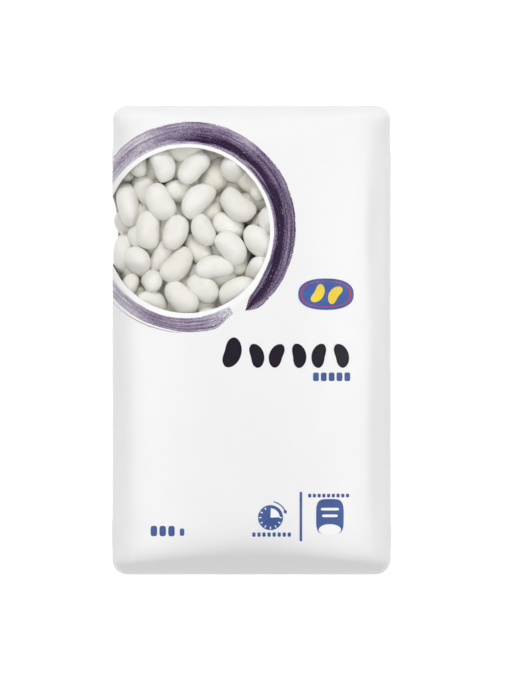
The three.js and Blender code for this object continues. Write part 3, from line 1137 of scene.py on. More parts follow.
@dataclass
class FilmBag:
    """The white film round the beans, with its end seals and its back seam.

    A lift is a height off the film's plain form. A pair without a note of its own is
    where something sets in and where it has its full size.
    """

    skin: Skin
    window: Window
    pitch: float = 1.45
    end_zone: float = 34.0
    end_rows: int = 30
    film_thickness: float = 0.12
    cut_corners: int = 3  # a face with this many corners in the window is left out
    edge_points: int = 12000
    clear_spokes: int = 160
    clear_rings: int = 26
    clear_middle: float = 0.02  # share of the window that a last face closes
    seal_columns: int = 260
    seal_rows: int = 66
    seal_thickness: float = 0.2
    seal_length: float = 10.0
    seal_margin: float = 10.0
    seal_fold: float = 0.25
    seal_lift: float = 0.12
    seal_stand_off: float = 0.55
    seal_rise: tuple[float, float] = (0.0, 0.35)  # where it sets in and is full, as shares of it
    seal_wave: tuple[float, float] = (0.10, 0.21)  # height, and radians for each millimetre
    seal_ripple: tuple[float, float, float] = (0.06, 0.53, 2.0)  # the same, and its phase
    rib_pitch: float = 1.5
    rib_height: float = 0.13
    rib_rise: tuple[float, float] = (0.08, 0.2)  # the same
    tooth_pitch: float = 1.8
    tooth_depth: float = 0.9
    tooth_reach: float = 0.4  # of the tips past the seal's length
    table_gap: float = 0.02
    seam_rows: int = 150
    seam_columns: int = 13
    seam_width: float = 12.0
    seam_thickness: float = 0.1
    seam_end_gap: float = 1.5
    seam_lift: float = -0.13
    seam_open_edge: tuple[float, float] = (4.5, 6.0)
    seam_open_lift: float = 0.05

    def _girths(self) -> np.ndarray:
        """Return the girths of the film's columns, once round from the left side."""
        film = self.skin.film
        front = 2 * round(film.front_reach / self.pitch)
        back = 2 * round(film.back_reach / self.pitch)
        over = np.linspace(-film.front_reach, film.front_reach, front, endpoint=False)
        under = np.linspace(0, 2 * film.back_reach, back, endpoint=False)
        below = np.where(
            under <= film.back_reach,
            film.front_reach + under,
            under - film.front_reach - 2 * film.back_reach,
        )
        return np.concatenate([over, below])

    def _stations(self) -> np.ndarray:
        """Return the y of the film's rows, which close up towards the ends."""
        edge = self.skin.film.half_length - self.end_zone
        middle = np.linspace(-edge, edge, 2 * round(edge / self.pitch) + 1)
        turn = np.arange(1, self.end_rows + 1) / self.end_rows * math.pi / 2
        end = edge + self.end_zone * np.sin(turn)
        return np.concatenate([-end[::-1], middle, end])

    def white_film(self) -> bpy.types.Object:
        """Make the film with its hole for the window.

        Returns:
            The film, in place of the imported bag.
        """
        girths, ys = self._girths(), self._stations()
        y, girth = np.meshgrid(ys, girths, indexing="ij")
        girth, y = girth.ravel(), y.ravel()
        faces = grid_faces(len(ys), len(girths), closed=True)
        x = self.skin.drawn_x(girth)
        cut = self.window.holds(x, y)[faces].sum(axis=1) >= self.cut_corners
        rim = np.intersect1d(faces[cut], faces[~cut])
        girth[rim], y[rim] = self._nearest_on_edge(girth[rim], y[rim])
        kept = faces[~cut]
        used, renumbered = np.unique(kept, return_inverse=True)
        points = self.skin.place(girth[used], y[used])
        piece = make_piece("film_bag", points, renumbered.reshape(kept.shape))
        give_thickness(piece, self.film_thickness)
        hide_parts("bag")
        return piece

    def _nearest_on_edge(self, girth: np.ndarray, y: np.ndarray) -> tuple[np.ndarray, np.ndarray]:
        """Move places near the window's edge onto it.

        Args:
            girth: Girth of each place.
            y: Its y.

        Returns:
            Girth and y of the nearest points of the edge.
        """
        edge_x, edge_y = self.window.edge(self.edge_points)
        edge_girth = self.skin.girth_of(edge_x)
        distance = (girth[:, None] - edge_girth) ** 2 + (y[:, None] - edge_y) ** 2
        nearest = distance.argmin(axis=1)
        return edge_girth[nearest], edge_y[nearest]

    def clear_film(self) -> bpy.types.Object:
        """Make the clear film over the window.

        Returns:
            The sheet, whose edge meets the white film's.
        """
        spokes, rings = self.clear_spokes, self.clear_rings
        edge_x, edge_y = self.window.edge(spokes)
        shares = np.linspace(1, self.clear_middle, rings)[:, None]
        middle_girth = float(self.skin.girth_of(self.window.x))
        edge_girth = self.skin.girth_of(edge_x)
        girth = middle_girth + shares * (edge_girth - middle_girth)
        y = self.window.y + shares * (edge_y - self.window.y)
        points = self.skin.place(girth.ravel(), y.ravel())
        faces = grid_faces(rings, spokes, closed=True).tolist()
        faces.append(list(range((rings - 1) * spokes, rings * spokes)))
        return make_piece("window_film", points, faces)

    def end_seal(self, end: End) -> bpy.types.Object:
        """Make a crimped end seal, folded back under its end.

        Args:
            end: The end that it closes.

        Returns:
            The seal, with ribs across it and a toothed edge.
        """
        film = self.skin.film
        half = film.half_width - self.seal_margin
        x = np.linspace(-half, half, self.seal_columns)
        tooth = np.abs((x / self.tooth_pitch) % 1 - 0.5) * 2 * self.tooth_depth
        share = np.linspace(0, 1, self.seal_rows)[:, None]
        inwards = self.seal_fold + share * (self.seal_length + self.tooth_reach - tooth)
        girth = np.broadcast_to(film.back_girth_at(x), inwards.shape)
        rib = 0.5 - 0.5 * np.cos(2 * math.pi * inwards / self.rib_pitch)
        wave_height, wave_pitch = self.seal_wave
        ripple_height, ripple_pitch, phase = self.seal_ripple
        wave = wave_height * np.sin(x * wave_pitch + end.value)
        wave = wave + ripple_height * np.sin(x * ripple_pitch + phase)
        lift = self.seal_lift + (self.seal_stand_off + wave) * smooth(share, *self.seal_rise)
        lift = lift + self.rib_height * rib * smooth(share, *self.rib_rise)
        y = end.value * (film.half_length - inwards)
        points = film.lifted(girth.ravel(), y.ravel(), lift.ravel())
        points[:, 2] = np.maximum(points[:, 2], self.table_gap)
        faces = grid_faces(self.seal_rows, self.seal_columns)[:, :: end.value]
        piece = make_piece(f"end_seal_{end.name.lower()}", points, faces)
        give_thickness(piece, self.seal_thickness)
        return piece

    def back_seam(self) -> bpy.types.Object:
        """Make the lap seam that closes the film along the middle of the back."""
        film = self.skin.film
        reach = film.half_length - self.seal_length - self.seam_end_gap
        round_back = film.front_reach + film.back_reach
        across = np.linspace(-self.seam_width / 2, self.seam_width / 2, self.seam_columns)
        girths = np.where(across < 0, -round_back - across, round_back - across)
        ys = np.linspace(-reach, reach, self.seam_rows)
        y, girth = np.meshgrid(ys, girths, indexing="ij")
        lift = self.seam_lift + smooth(across, *self.seam_open_edge) * self.seam_open_lift
        points = film.lifted(girth.ravel(), y.ravel(), np.broadcast_to(lift, y.shape).ravel())
        faces = grid_faces(self.seam_rows, self.seam_columns)[:, ::-1]
        piece = make_piece("back_seam", points, faces)
        give_thickness(piece, self.seam_thickness)
        return piece

    def build(self, finishes: Finishes) -> None:
        """Make and dress every piece of film."""
        dress(self.white_film(), finishes.film)
        dress(self.clear_film(), finishes.clear)
        for end in End:
            dress(self.end_seal(end), finishes.seal)
        dress(self.back_seam(), finishes.seal)


# ---- The beans ----------------------------------------------------------


@dataclass(frozen=True)
class Lying:
    """How one bean lies: its place, its attitude and its size."""

    girth: float
    y: float
    depth: float
    attitude: np.ndarray
    size: float


@dataclass(frozen=True)
class Laid:
    """A bean that is laid flat at a listed place, in a gap that the pour leaves."""

    girth: float
    y: float
    depth: float
    turn: float


@dataclass
class Pour:
    """Packs beans outwards against the film, the first ones touching it."""

    film: Film
    window: Window
    length: float = 18.4
    width: float = 11.8
    thickness: float = 9.4
    size_spread: float = 0.13
    seed: int = 20731
    film_gap: float = 0.5
    slack: float = 1.2
    deepest: float = 11.5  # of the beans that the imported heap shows
    deepest_behind: float = 19.0  # of those that show between them
    line_depth: float = 5.0
    wrap: float = 9.0
    margin: float = 11.0
    cell: float = 1.0
    tries: int = 100
    settling: float = 0.12
    patience: int = 30
    patience_behind: int = 30
    press: float = 0.94
    press_behind: float = 0.8  # lets those behind nestle in the gaps
    steep_share: float = 0.16
    gentle_tilt: float = 0.25
    steep_tilt: float = 1.1
    roll: float = 0.5
    laid_by_hand: tuple[Laid, ...] = (
        Laid(girth=-92.0, y=43.5, depth=5.3, turn=1.35),
        Laid(girth=-93.0, y=60.0, depth=5.4, turn=1.7),
        Laid(girth=-31.5, y=90.0, depth=9.0, turn=0.1),
        Laid(girth=-2.5, y=77.0, depth=10.5, turn=2.3),
        Laid(girth=-77.0, y=32.5, depth=9.0, turn=0.9),
    )

    def _line(self) -> tuple[np.ndarray, np.ndarray]:
        """Return lengths along a line under the film, and the girths over them."""
        low = -self.film.front_reach - self.wrap - self.margin
        high = float(self.film.girth_at(self.window.x + self.window.radius)) + self.margin
        steps = 2 * math.ceil(high - low)
        girth = np.linspace(low, high, steps + 1)
        at = self.film.lifted(girth, np.full_like(girth, self.window.y), -self.line_depth)
        lengths = np.linalg.norm(np.diff(at, axis=0), axis=1)
        return np.concatenate([[0.0], np.cumsum(lengths)]), girth

    @staticmethod
    def attitude(turn: float, tilt: float, roll: float) -> np.ndarray:
        """Return a bean's rotation in the film's directions."""
        cz, sz = math.cos(turn), math.sin(turn)
        cy, sy = math.cos(tilt), math.sin(tilt)
        cx, sx = math.cos(roll), math.sin(roll)
        about_z = np.array([[cz, -sz, 0], [sz, cz, 0], [0, 0, 1]])
        about_y = np.array([[cy, 0, sy], [0, 1, 0], [-sy, 0, cy]])
        about_x = np.array([[1, 0, 0], [0, cx, -sx], [0, sx, cx]])
        return about_z @ about_y @ about_x

    def _spans(
        self,
        attitude: np.ndarray,
        scale: float,
        along: float,
        y: float,
        low: float,
        shape: tuple[int, int],
    ) -> tuple[np.ndarray, np.ndarray, np.ndarray]:
        """Measure an ellipsoid at each cell of the depth map that it covers.

        Args:
            attitude: Its rotation.
            scale: Its scale against a common bean.
            along: Its middle along the line.
            y: Its middle's y.
            low: The map's lowest y.
            shape: The map's rows and columns.

        Returns:
            The cells, and how far it reaches towards the film and away from it.
        """
        half = np.array([self.length, self.width, self.thickness]) / 2 * scale
        inverse = attitude @ np.diag(1 / half**2) @ attitude.T
        halo = math.ceil(self.length * scale / self.press / 2 / self.cell)
        column, row = math.floor(along / self.cell), math.floor((y - low) / self.cell)
        rows = np.arange(max(0, row - halo), min(shape[0] - 1, row + halo) + 1)
        columns = np.arange(max(0, column - halo), min(shape[1] - 1, column + halo) + 1)
        dx = ((columns + 0.5) * self.cell - along)[None, :]
        dy = (low + (rows + 0.5) * self.cell - y)[:, None]
        slope = inverse[0, 2] * dx + inverse[1, 2] * dy
        flat = inverse[0, 0] * dx**2 + 2 * inverse[0, 1] * dx * dy + inverse[1, 1] * dy**2
        inside = slope**2 - inverse[2, 2] * (flat - 1)
        hit = inside > 0
        root = np.sqrt(inside[hit])
        cells = (rows[:, None] * shape[1] + columns[None, :])[hit]
        return cells, (root - slope[hit]) / inverse[2, 2], (root + slope[hit]) / inverse[2, 2]

    def lie(self) -> list[Lying]:
        """Pack the beans.

        Returns:
            The beans in the order in which they are packed.
        """
        draw = drawer(self.seed)
        lengths, girths = self._line()
        width = float(lengths[-1])
        low = self.window.y - self.window.radius - self.margin
        height = 2 * (self.window.y - low)
        shape = (math.ceil(height / self.cell), math.ceil(width / self.cell))
        filled = np.full(shape[0] * shape[1], self.film_gap)
        lying: list[Lying] = []
        misses = 0
        deepest, press = self.deepest, self.press
        while misses < self.patience + self.patience_behind:
            if misses == self.patience:
                deepest, press = self.deepest_behind, self.press_behind
            steep = draw() < self.steep_share
            tilt = (2 * draw() - 1) * (self.steep_tilt if steep else self.gentle_tilt)
            roll = (2 * draw() - 1) * self.roll
            size = 1 + (2 * draw() - 1) * self.size_spread
            slack = draw() * self.slack
            best = None
            for _ in range(self.tries):
                along, y = draw() * width, low + draw() * height
                attitude = self.attitude(draw() * 2 * math.pi, tilt, roll)
                cells, out, into = self._spans(attitude, size * press, along, y, low, shape)
                depth = slack + float((filled[cells] + out).max())
                rank = depth + self.settling * (y - low)
                if depth < deepest and (best is None or rank < best[0]):
                    best = (rank, along, y, depth, attitude, cells, into)
            if best is None:
                misses += 1
                continue
            misses = 0 if deepest == self.deepest else self.patience
            _, along, y, depth, attitude, cells, into = best
            filled[cells] = np.maximum(filled[cells], depth + into)
            girth = float(np.interp(along, lengths, girths))
            lying.append(Lying(girth, y, depth, attitude, size))
        for laid in self.laid_by_hand:
            attitude = self.attitude(laid.turn, tilt=0.0, roll=0.0)
            lying.append(Lying(laid.girth, laid.y, laid.depth, attitude, size=1.0))
        return lying


@dataclass(frozen=True)
class BeanShape:
    """The ranges from which each bean's own shape is drawn, in shares of its half sizes.

    The hilum lies on the side of the bean's positive y, where the notch is.
    """

    power: tuple[float, float] = (2.25, 2.65)  # 2 gives an ellipse
    taper: tuple[float, float] = (-0.08, 0.08)
    bend: tuple[float, float] = (0.04, 0.28)
    bend_middle: float = 0.45  # which keeps the bent bean about its own middle
    plump: tuple[float, float] = (0.98, 1.07)
    length: tuple[float, float] = (0.96, 1.03)
    hilum_place: float = 0.05
    hilum_size: tuple[float, float] = (0.10, 0.17)  # along the bean and across it
    hilum_rise: tuple[float, float] = (0.4, 0.8)
    notch: tuple[float, float] = (0.0, 0.07)
    notch_size: tuple[float, float] = (0.35, 0.75)  # along the bean and across it
    notch_rise: tuple[float, float] = (0.1, 0.9)
    sway_along: tuple[float, float] = (0.03, 3.1)  # height, and radians for each share
    sway_across: tuple[float, float] = (0.02, 4.3)
    sway_start: tuple[float, float] = (0.0, 6.0)

    def _sway(self, share: np.ndarray, wave: tuple[float, float], rng: random.Random) -> np.ndarray:
        """Return a gentle wave from a drawn start."""
        return wave[0] * np.sin(wave[1] * share + rng.uniform(*self.sway_start))

    def shaped(
        self, unit: Points, size: tuple[float, float, float], rng: random.Random
    ) -> tuple[Points, np.ndarray]:
        """Turn a ball into a bean of its own shape.

        Args:
            unit: The ball's points.
            size: A common bean's length, width and thickness.
            rng: The draws.

        Returns:
            The bean's points in millimetres, and how near each is to the hilum.
        """
        power = rng.uniform(*self.power)
        girth = np.hypot(unit[:, 1], unit[:, 2])
        norm = (np.abs(unit[:, 0]) ** power + girth**power) ** (1 / power)
        x, y, z = (unit / norm[:, None]).T
        taper = rng.uniform(*self.taper)
        bend = rng.uniform(*self.bend) * (x * x - self.bend_middle)
        fat = (1 + taper * x) * rng.uniform(*self.plump)
        notch = rng.uniform(*self.notch) * bell(x, self.hilum_place, self.notch_size[0])
        notch = notch * smooth(y, *self.notch_rise) * bell(z, 0, self.notch_size[1])
        sway = self._sway(x, self.sway_along, rng) + self._sway(y, self.sway_across, rng)
        length, width, thickness = size
        points = np.stack(
            [
                length / 2 * x * rng.uniform(*self.length),
                width / 2 * (fat * y * (1 + sway) + bend - notch),
                thickness / 2 * fat * z * (1 + sway),
            ],
            axis=1,
        )
        hilum = bell(x, self.hilum_place, self.hilum_size[0]) * bell(z, 0.0, self.hilum_size[1])
        return points, hilum * smooth(y, *self.hilum_rise)


@dataclass
class BeanHeap:
    """The beans that show through the window, over a core of beans that is coloured near black as
    painted shade.
    """

    skin: Skin
    pour: Pour
    shape: BeanShape = BeanShape()
    around: int = 22
    stations: int = 22
    seed: int = 77
    tints: tuple[float, float] = (0.35, 1.0)
    # The beans behind get the darker tints, which are painted shade.
    painted_shade_tints: tuple[float, float] = (0.0, 0.2)
    skin_shift: tuple[float, float] = (0.0, 9.0)  # in metres, which sets each skin's noise apart
    film_gap: float = 0.15
    film_cell: float = 1.0
    pushes: int = 4
    core_drop: float = 21.0  # of the core's top under the film's crown
    core_thickness: float = 3.0
    core_least_top: float = 4.0  # above the table
    core_lump: float = 3.0
    core_margin: float = 8.0
    core_cell: float = 1.6
    core_inset: float = 15.0  # of the core's left side from the bag's
    seen_past: float = 16.0  # how far past the window's edge a bean can still be seen
    end_margin: float = 17.0

    def _unit_bean(self) -> tuple[Points, np.ndarray, np.ndarray]:
        """Make a ball with its poles at both ends of the bean.

        Returns:
            Its points, its four-sided faces and the triangles round its poles.
        """
        turn = np.linspace(0, math.pi, self.stations + 1)[1:-1]
        angle = np.linspace(0, 2 * math.pi, self.around, endpoint=False)
        t, a = np.meshgrid(turn, angle, indexing="ij")
        ring = np.stack([-np.cos(t), np.sin(t) * np.cos(a), np.sin(t) * np.sin(a)], axis=-1)
        points = np.concatenate([[[-1, 0, 0]], ring.reshape(-1, 3), [[1, 0, 0]]])
        number = np.arange(self.around)
        after = (number + 1) % self.around
        pole = np.zeros_like(number)
        last = len(points) - 1
        ring_start = last - self.around
        first_cap = np.stack([pole, 1 + after, 1 + number], axis=1)
        last_cap = np.stack([pole + last, ring_start + number, ring_start + after], axis=1)
        quads = grid_faces(len(turn), self.around, closed=True) + 1
        return points, quads, np.concatenate([first_cap, last_cap])

    def _shows(self, bean: Lying) -> bool:
        """Say whether a bean lies near enough to the window to be seen, and clear of the end."""
        window = self.pour.window
        x = float(self.skin.drawn_x(np.array([bean.girth]))[0])
        near = math.hypot(x - window.x, bean.y - window.y) < window.radius + self.seen_past
        return near and bean.y < self.skin.film.half_length - self.end_margin

    def _film_tree(self) -> BVHTree:
        """Make a search tree of the film round the window."""
        window, film = self.pour.window, self.skin.film
        reach = window.radius + 2 * self.pour.margin
        left = -film.front_reach - 3 * self.pour.margin
        girths = np.arange(left, window.x + reach, self.film_cell)
        top = min(window.y + reach, film.half_length - self.film_cell)
        ys = np.arange(window.y - reach, top, self.film_cell)
        y, girth = np.meshgrid(ys, girths, indexing="ij")
        points = self.skin.place(girth.ravel(), y.ravel())
        return BVHTree.FromPolygons(points.tolist(), grid_faces(len(ys), len(girths)).tolist())

    def _pushed_in(self, points: Points, out: np.ndarray, tree: BVHTree) -> Points:
        """Push a bean inwards until all of it clears the film.

        Args:
            points: The bean's points.
            out: The way out of the bag there.
            tree: The film.

        Returns:
            The points where they end up.
        """
        for _ in range(self.pushes):
            over = -math.inf
            for point in points:
                nearest, normal, _, _ = tree.find_nearest(point)
                over = max(over, (Vector(point) - nearest).dot(normal) + self.film_gap)
            if over <= 0:
                break
            points = points - out * over
        return points

    def _laid(self, bean: Lying, shaped: Points, tree: BVHTree) -> Points:
        """Lay a bean in its place, clear of the film.

        Args:
            bean: How it lies.
            shaped: Its points about its own middle.
            tree: The film.

        Returns:
            Its points in the bag.
        """
        film = self.skin.film
        round_it, along, out = film.directions(np.array([bean.girth]), np.array([bean.y]))
        film_axes = np.stack([round_it[0], along[0], out[0]], axis=1)
        middle = film.lifted([bean.girth], [bean.y], -bean.depth)[0]
        placed = middle + bean.size * shaped @ (film_axes @ bean.attitude).T
        return self._pushed_in(placed, out[0], tree)

    def beans(self) -> bpy.types.Object:
        """Make all the beans as one piece.

        Returns:
            The beans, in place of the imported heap.
        """
        rng = random.Random(self.seed)
        tree = self._film_tree()
        unit, quads, caps = self._unit_bean()
        size = (self.pour.length, self.pour.width, self.pour.thickness)
        points, faces, tints, skins, hilums = [], [], [], [], []
        for bean in self.pour.lie():
            shaped, hilum = self.shape.shaped(unit, size, rng)
            if not self._shows(bean):
                continue
            before = len(points) * len(unit)
            points.append(self._laid(bean, shaped, tree))
            faces += (quads + before).tolist() + (caps + before).tolist()
            behind = bean.depth > self.pour.deepest
            # Beans behind take the darker tints, which paint their shade.
            tint = rng.uniform(*(self.painted_shade_tints if behind else self.tints))
            tints.append(np.full(len(unit), tint))
            skins.append(shaped * MM + [rng.uniform(*self.skin_shift) for _ in range(3)])
            hilums.append(hilum)
        piece = make_piece("white_beans", np.concatenate(points), faces)
        self._attribute(piece, "tint", "FLOAT", "value", np.concatenate(tints))
        self._attribute(piece, "hilum", "FLOAT", "value", np.concatenate(hilums))
        self._attribute(piece, "skin", "FLOAT_VECTOR", "vector", np.concatenate(skins))
        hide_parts("beans")
        LOG.info("packed %d beans", len(points))
        return piece

    @staticmethod
    def _attribute(
        piece: bpy.types.Object, name: str, kind: str, channel: str, values: np.ndarray
    ) -> None:
        """Give a mesh's points a named attribute."""
        attribute = piece.data.attributes.new(name, kind, "POINT")
        attribute.data.foreach_set(channel, values.astype(np.float32).ravel())

    def core(self) -> bpy.types.Object:
        """Make the lumpy mass of beans below the ones that show, whose near-black finish is painted
        shade.

        Returns:
            A closed mass that reaches past the window's edge on all sides.
        """
        window, film = self.pour.window, self.skin.film
        reach = window.radius + self.core_margin
        xs = np.arange(self.core_inset - film.half_width, window.x + reach, self.core_cell)
        ys = np.arange(window.y - reach, window.y + reach, self.core_cell)
        y, x = np.meshgrid(ys, xs, indexing="ij")
        girth = film.girth_at(x)
        crown = film.point(girth, y)[..., 2] - self.core_drop
        crowns = self.skin.relief.crowns(girth.ravel(), y.ravel()).reshape(x.shape)
        height = np.maximum(crown, self.core_least_top) + self.core_lump * crowns
        top = np.stack([x, y, height], axis=-1)
        bottom = top - [0, 0, self.core_thickness]
        rows, columns = x.shape
        edge = self._rim(rows, columns)
        after = np.roll(edge, -1)
        low = rows * columns
        walls = np.stack([edge, edge + low, after + low, after], axis=1)
        sheet = grid_faces(rows, columns)
        faces = np.concatenate([sheet, sheet[:, ::-1] + low, walls])
        stacked = np.concatenate([top.reshape(-1, 3), bottom.reshape(-1, 3)])
        return make_piece("bean_core", stacked, faces)

    @staticmethod
    def _rim(rows: int, columns: int) -> np.ndarray:
        """List the outer points of a grid, once round."""
        number = np.arange(rows * columns).reshape(rows, columns)
        sides = (number[0, :-1], number[:-1, -1], number[-1, :0:-1], number[:0:-1, 0])
        return np.concatenate(sides)

    def build(self, finishes: Finishes) -> None:
        """Make and dress the beans and their core."""
        dress(self.beans(), finishes.bean)
        # The core is dressed in the near-black finish, which paints the shade deep between the beans.
        dress(self.core(), finishes.core)


# ---- The print ----------------------------------------------------------


@dataclass(frozen=True)
class Blot:
    """A filled outline of the drawing, seen from its own middle.

    Its edge is a superellipse, bent like a bean where bend isn't 0.
    """

    x: float
    y: float
    width: float
    height: float
    power: float = 2.0
    turn: float = 0.0
    bend: float = 0.0  # degrees through which its width is bent
    hole: float = 0.0  # share of the outline that is left open in the middle
    start: float = 0.0
    sweep: float = 360.0

    @property
    def closed(self) -> bool:
        """Say whether the outline runs all round."""
        return self.sweep >= 360

    def row(self, count: int, pitch: float) -> list[Blot]:
        """Return this blot and its copies in a row to the right."""
        return [replace(self, x=self.x + pitch * number) for number in range(count)]

    def outline(self, spokes: int) -> tuple[np.ndarray, np.ndarray]:
        """Return the edge's x and y from the blot's middle, before it is turned."""
        end = self.start + self.sweep
        angle = np.radians(np.linspace(self.start, end, spokes, endpoint=not self.closed))
        c, s = np.cos(angle), np.sin(angle)
        reach = (np.abs(c) ** self.power + np.abs(s) ** self.power) ** (-1 / self.power)
        x, y = self.width / 2 * c * reach, self.height / 2 * s * reach
        if not self.bend:
            return x, y
        bend = math.radians(self.bend)
        radius = self.width / bend
        middle = radius * math.cos(bend / 4)
        return (radius - y) * np.sin(x / radius), middle - (radius - y) * np.cos(x / radius)


def on_circle(x: float, y: float, radius: float, degrees: float) -> tuple[float, float]:
    """Return the place on a circle at an angle from its right."""
    angle = math.radians(degrees)
    return x + radius * math.cos(angle), y + radius * math.sin(angle)


@dataclass
class Print:
    """Everything that is printed on the film, in the drawing's own places."""

    skin: Skin
    window: Window
    finishes: Finishes
    base_lift: float = 0.05
    layer_step: float = 0.035
    spokes_per_mm: float = 6.0
    spoke_limits: tuple[int, int] = (36, 150)
    ring_pitch: float = 0.9
    ring_limits: tuple[int, int] = (3, 14)
    least_share: float = 0.03  # of a filled outline, which one last face closes
    band_spokes: int = 300
    band_rings: int = 5
    band_gap: float = 0.02
    band_breadth: float = 2.9
    band_drift: float = 0.6  # of its breadth, which is greatest at the angle below
    band_widest: float = 25.0

    def _filled(self, blot: Blot) -> tuple[np.ndarray, np.ndarray]:
        """Return x and y of a blot's points, in rings from its middle or its hole outwards."""
        across = max(blot.width, blot.height)
        spokes = int(np.clip(across * self.spokes_per_mm, *self.spoke_limits))
        rings = int(np.clip(across / 2 / self.ring_pitch, *self.ring_limits)) + 1
        edge_x, edge_y = blot.outline(spokes)
        shares = np.linspace(max(blot.hole, self.least_share), 1, rings)[:, None]
        turn = math.radians(blot.turn)
        c, s = math.cos(turn), math.sin(turn)
        x = blot.x + shares * (c * edge_x - s * edge_y)
        y = blot.y + shares * (s * edge_x + c * edge_y)
        return x, y

    def blots(self, name: str, blots: Sequence[Blot], ink: Ink, layer: int = 1) -> bpy.types.Object:
        """Print several filled outlines as one piece.

        Args:
            name: The piece's name.
            blots: The outlines.
            ink: Their ink.
            layer: Which layer of ink it is, with the white band at 0.

        Returns:
            The printed piece.
        """
        lift = self.base_lift + layer * self.layer_step
        points, faces = [], []
        count = 0
        for blot in blots:
            x, y = self._filled(blot)
            rings, spokes = x.shape
            points.append(self.skin.place_drawn(x.ravel(), y.ravel(), lift))
            faces += (grid_faces(rings, spokes, blot.closed)[:, ::-1] + count).tolist()
            if not blot.hole:
                faces.append(list(range(count, count + spokes)))
            count += rings * spokes
        piece = make_piece(name, np.concatenate(points), faces)
        return dress(piece, self.finishes.inks[ink])

    def white_band(self) -> None:
        """Print the bright band between the window and the brushed ring."""
        spokes, rings = self.band_spokes, self.band_rings
        angle = np.linspace(0, 2 * math.pi, spokes, endpoint=False)[None, :]
        share = np.linspace(0, 1, rings)[:, None]
        drift = self.band_drift * np.cos(angle - math.radians(self.band_widest))
        reach = self.window.radius + self.band_gap + share * (self.band_breadth + drift)
        x = self.window.x + reach * np.cos(angle)
        y = self.window.y + reach * np.sin(angle)
        points = self.skin.place_drawn(x.ravel(), y.ravel(), self.base_lift)
        faces = grid_faces(rings, spokes, closed=True)[:, ::-1]
        piece = make_piece("print_white_band", points, faces)
        dress(piece, self.finishes.inks[Ink.WHITE])

    def build(self) -> None:
        """Print everything."""
        self.white_band()
        BrushRing(self.skin).build(self.finishes)
        self.title()
        self.badge()
        self.weight_marks()
        self.cooking_clock()
        self.portion_sign()

    def title(self) -> None:
        """Print a row of dark beans over a short row of blue dashes."""
        big = Blot(x=-9.4, y=-5.8, width=14.0, height=7.8, power=2.4, turn=74, bend=100)
        bean = Blot(x=0.0, y=-7.3, width=11.2, height=6.2, power=2.4, bend=104)
        x_and_turn = ((2.1, 104), (11.9, 250), (21.7, 98), (31.6, 258), (41.5, 106))
        beans = [replace(bean, x=x, turn=turn) for x, turn in x_and_turn]
        self.blots("print_bean_row", [big, *beans], Ink.DARK_PURPLE)
        dash = Blot(x=29.9, y=-17.1, width=2.7, height=4.0, power=5)
        self.blots("print_blue_dashes", dash.row(5, pitch=3.65), Ink.BLUE)

    def badge(self) -> None:
        """Print a blue oval with a thin red line and two yellow beans."""
        x, y = 34.6, 21.3
        field = Blot(x, y, width=25.8, height=14.6, power=2.4)
        line = Blot(x, y, width=23.4, height=12.2, power=2.4, hole=0.945)
        left = Blot(x - 3.8, y + 0.3, width=9.4, height=4.5, power=2.3, turn=60, bend=110)
        right = replace(left, x=x + 4.2, y=y - 0.3, turn=236)
        self.blots("print_badge_field", [field], Ink.BADGE_BLUE)
        self.blots("print_badge_line", [line], Ink.RED, layer=2)
        self.blots("print_badge_beans", [left, right], Ink.YELLOW, layer=2)

    def weight_marks(self) -> None:
        """Print the short row of blue blocks at the lower left."""
        block = Blot(x=-45.4, y=-88.8, width=3.0, height=4.8, power=4)
        small = Blot(x=-32.3, y=-89.3, width=2.1, height=3.4, power=4)
        self.blots("print_weight_blocks", [*block.row(3, pitch=4.1), small], Ink.BLUE)

    def cooking_clock(self) -> None:
        """Print a clock with a quarter of its face left white, an arrow and a row of blocks."""
        x, y, face_width = 8.8, -82.5, 11.6
        tick_reach, tip_reach, tip_at = 4.75, 7.4, 22
        face = Blot(x, y, width=face_width, height=face_width)
        quarter = Blot(x, y, width=8.6, height=8.6, start=2, sweep=86)
        ticks = [
            Blot(*on_circle(x, y, tick_reach, turn), width=1.15, height=0.5, power=4, turn=turn)
            for turn in range(120, 361, 30)
        ]
        arc = Blot(x, y, width=15.4, height=15.4, hole=0.93, start=28, sweep=50)
        tip_place = on_circle(x, y, tip_reach, tip_at)
        tip = Blot(*tip_place, width=2.3, height=1.7, power=1.1, turn=-62)
        blocks = Blot(x=1.1, y=-90.4, width=1.5, height=2.0, power=4).row(8, pitch=2.35)
        self.blots("print_clock_face", [face], Ink.BLUE)
        self.blots("print_clock_marks", [quarter, *ticks], Ink.WHITE, layer=2)
        self.blots("print_clock_arrow", [arc, tip, *blocks], Ink.BLUE)

    def portion_sign(self) -> None:
        """Print an upright rule, and a barrel with pale bars and an oval, under a row of blocks."""
        x = 36.4
        rule = Blot(x=22.9, y=-82.0, width=1.15, height=23.0, power=16)
        blocks = Blot(x=27.0, y=-72.3, width=1.45, height=1.7, power=4).row(9, pitch=2.2)
        barrel = Blot(x, y=-82.1, width=12.8, height=16.4, power=4)
        long_bar = Blot(x, y=-78.6, width=8.4, height=1.25, power=5)
        short_bar = Blot(x, y=-81.7, width=7.2, height=1.25, power=5)
        oval = Blot(x, y=-88.2, width=10.4, height=5.2)
        self.blots("print_portion_barrel", [rule, *blocks, barrel], Ink.BLUE)
        self.blots("print_portion_bars", [long_bar, short_bar, oval], Ink.WHITE, layer=2)


@dataclass(frozen=True)
class Circle:
    """A circle of the drawing."""

    x: float
    y: float
    radius: float

    def reach_from(self, x: float, y: float, angle: np.ndarray) -> np.ndarray:
        """Return how far the circle is from a place inside it at each angle."""
        dx, dy = x - self.x, y - self.y
        ahead = dx * np.cos(angle) + dy * np.sin(angle)
        return -ahead + np.sqrt(self.radius**2 - (dx**2 + dy**2 - ahead**2))


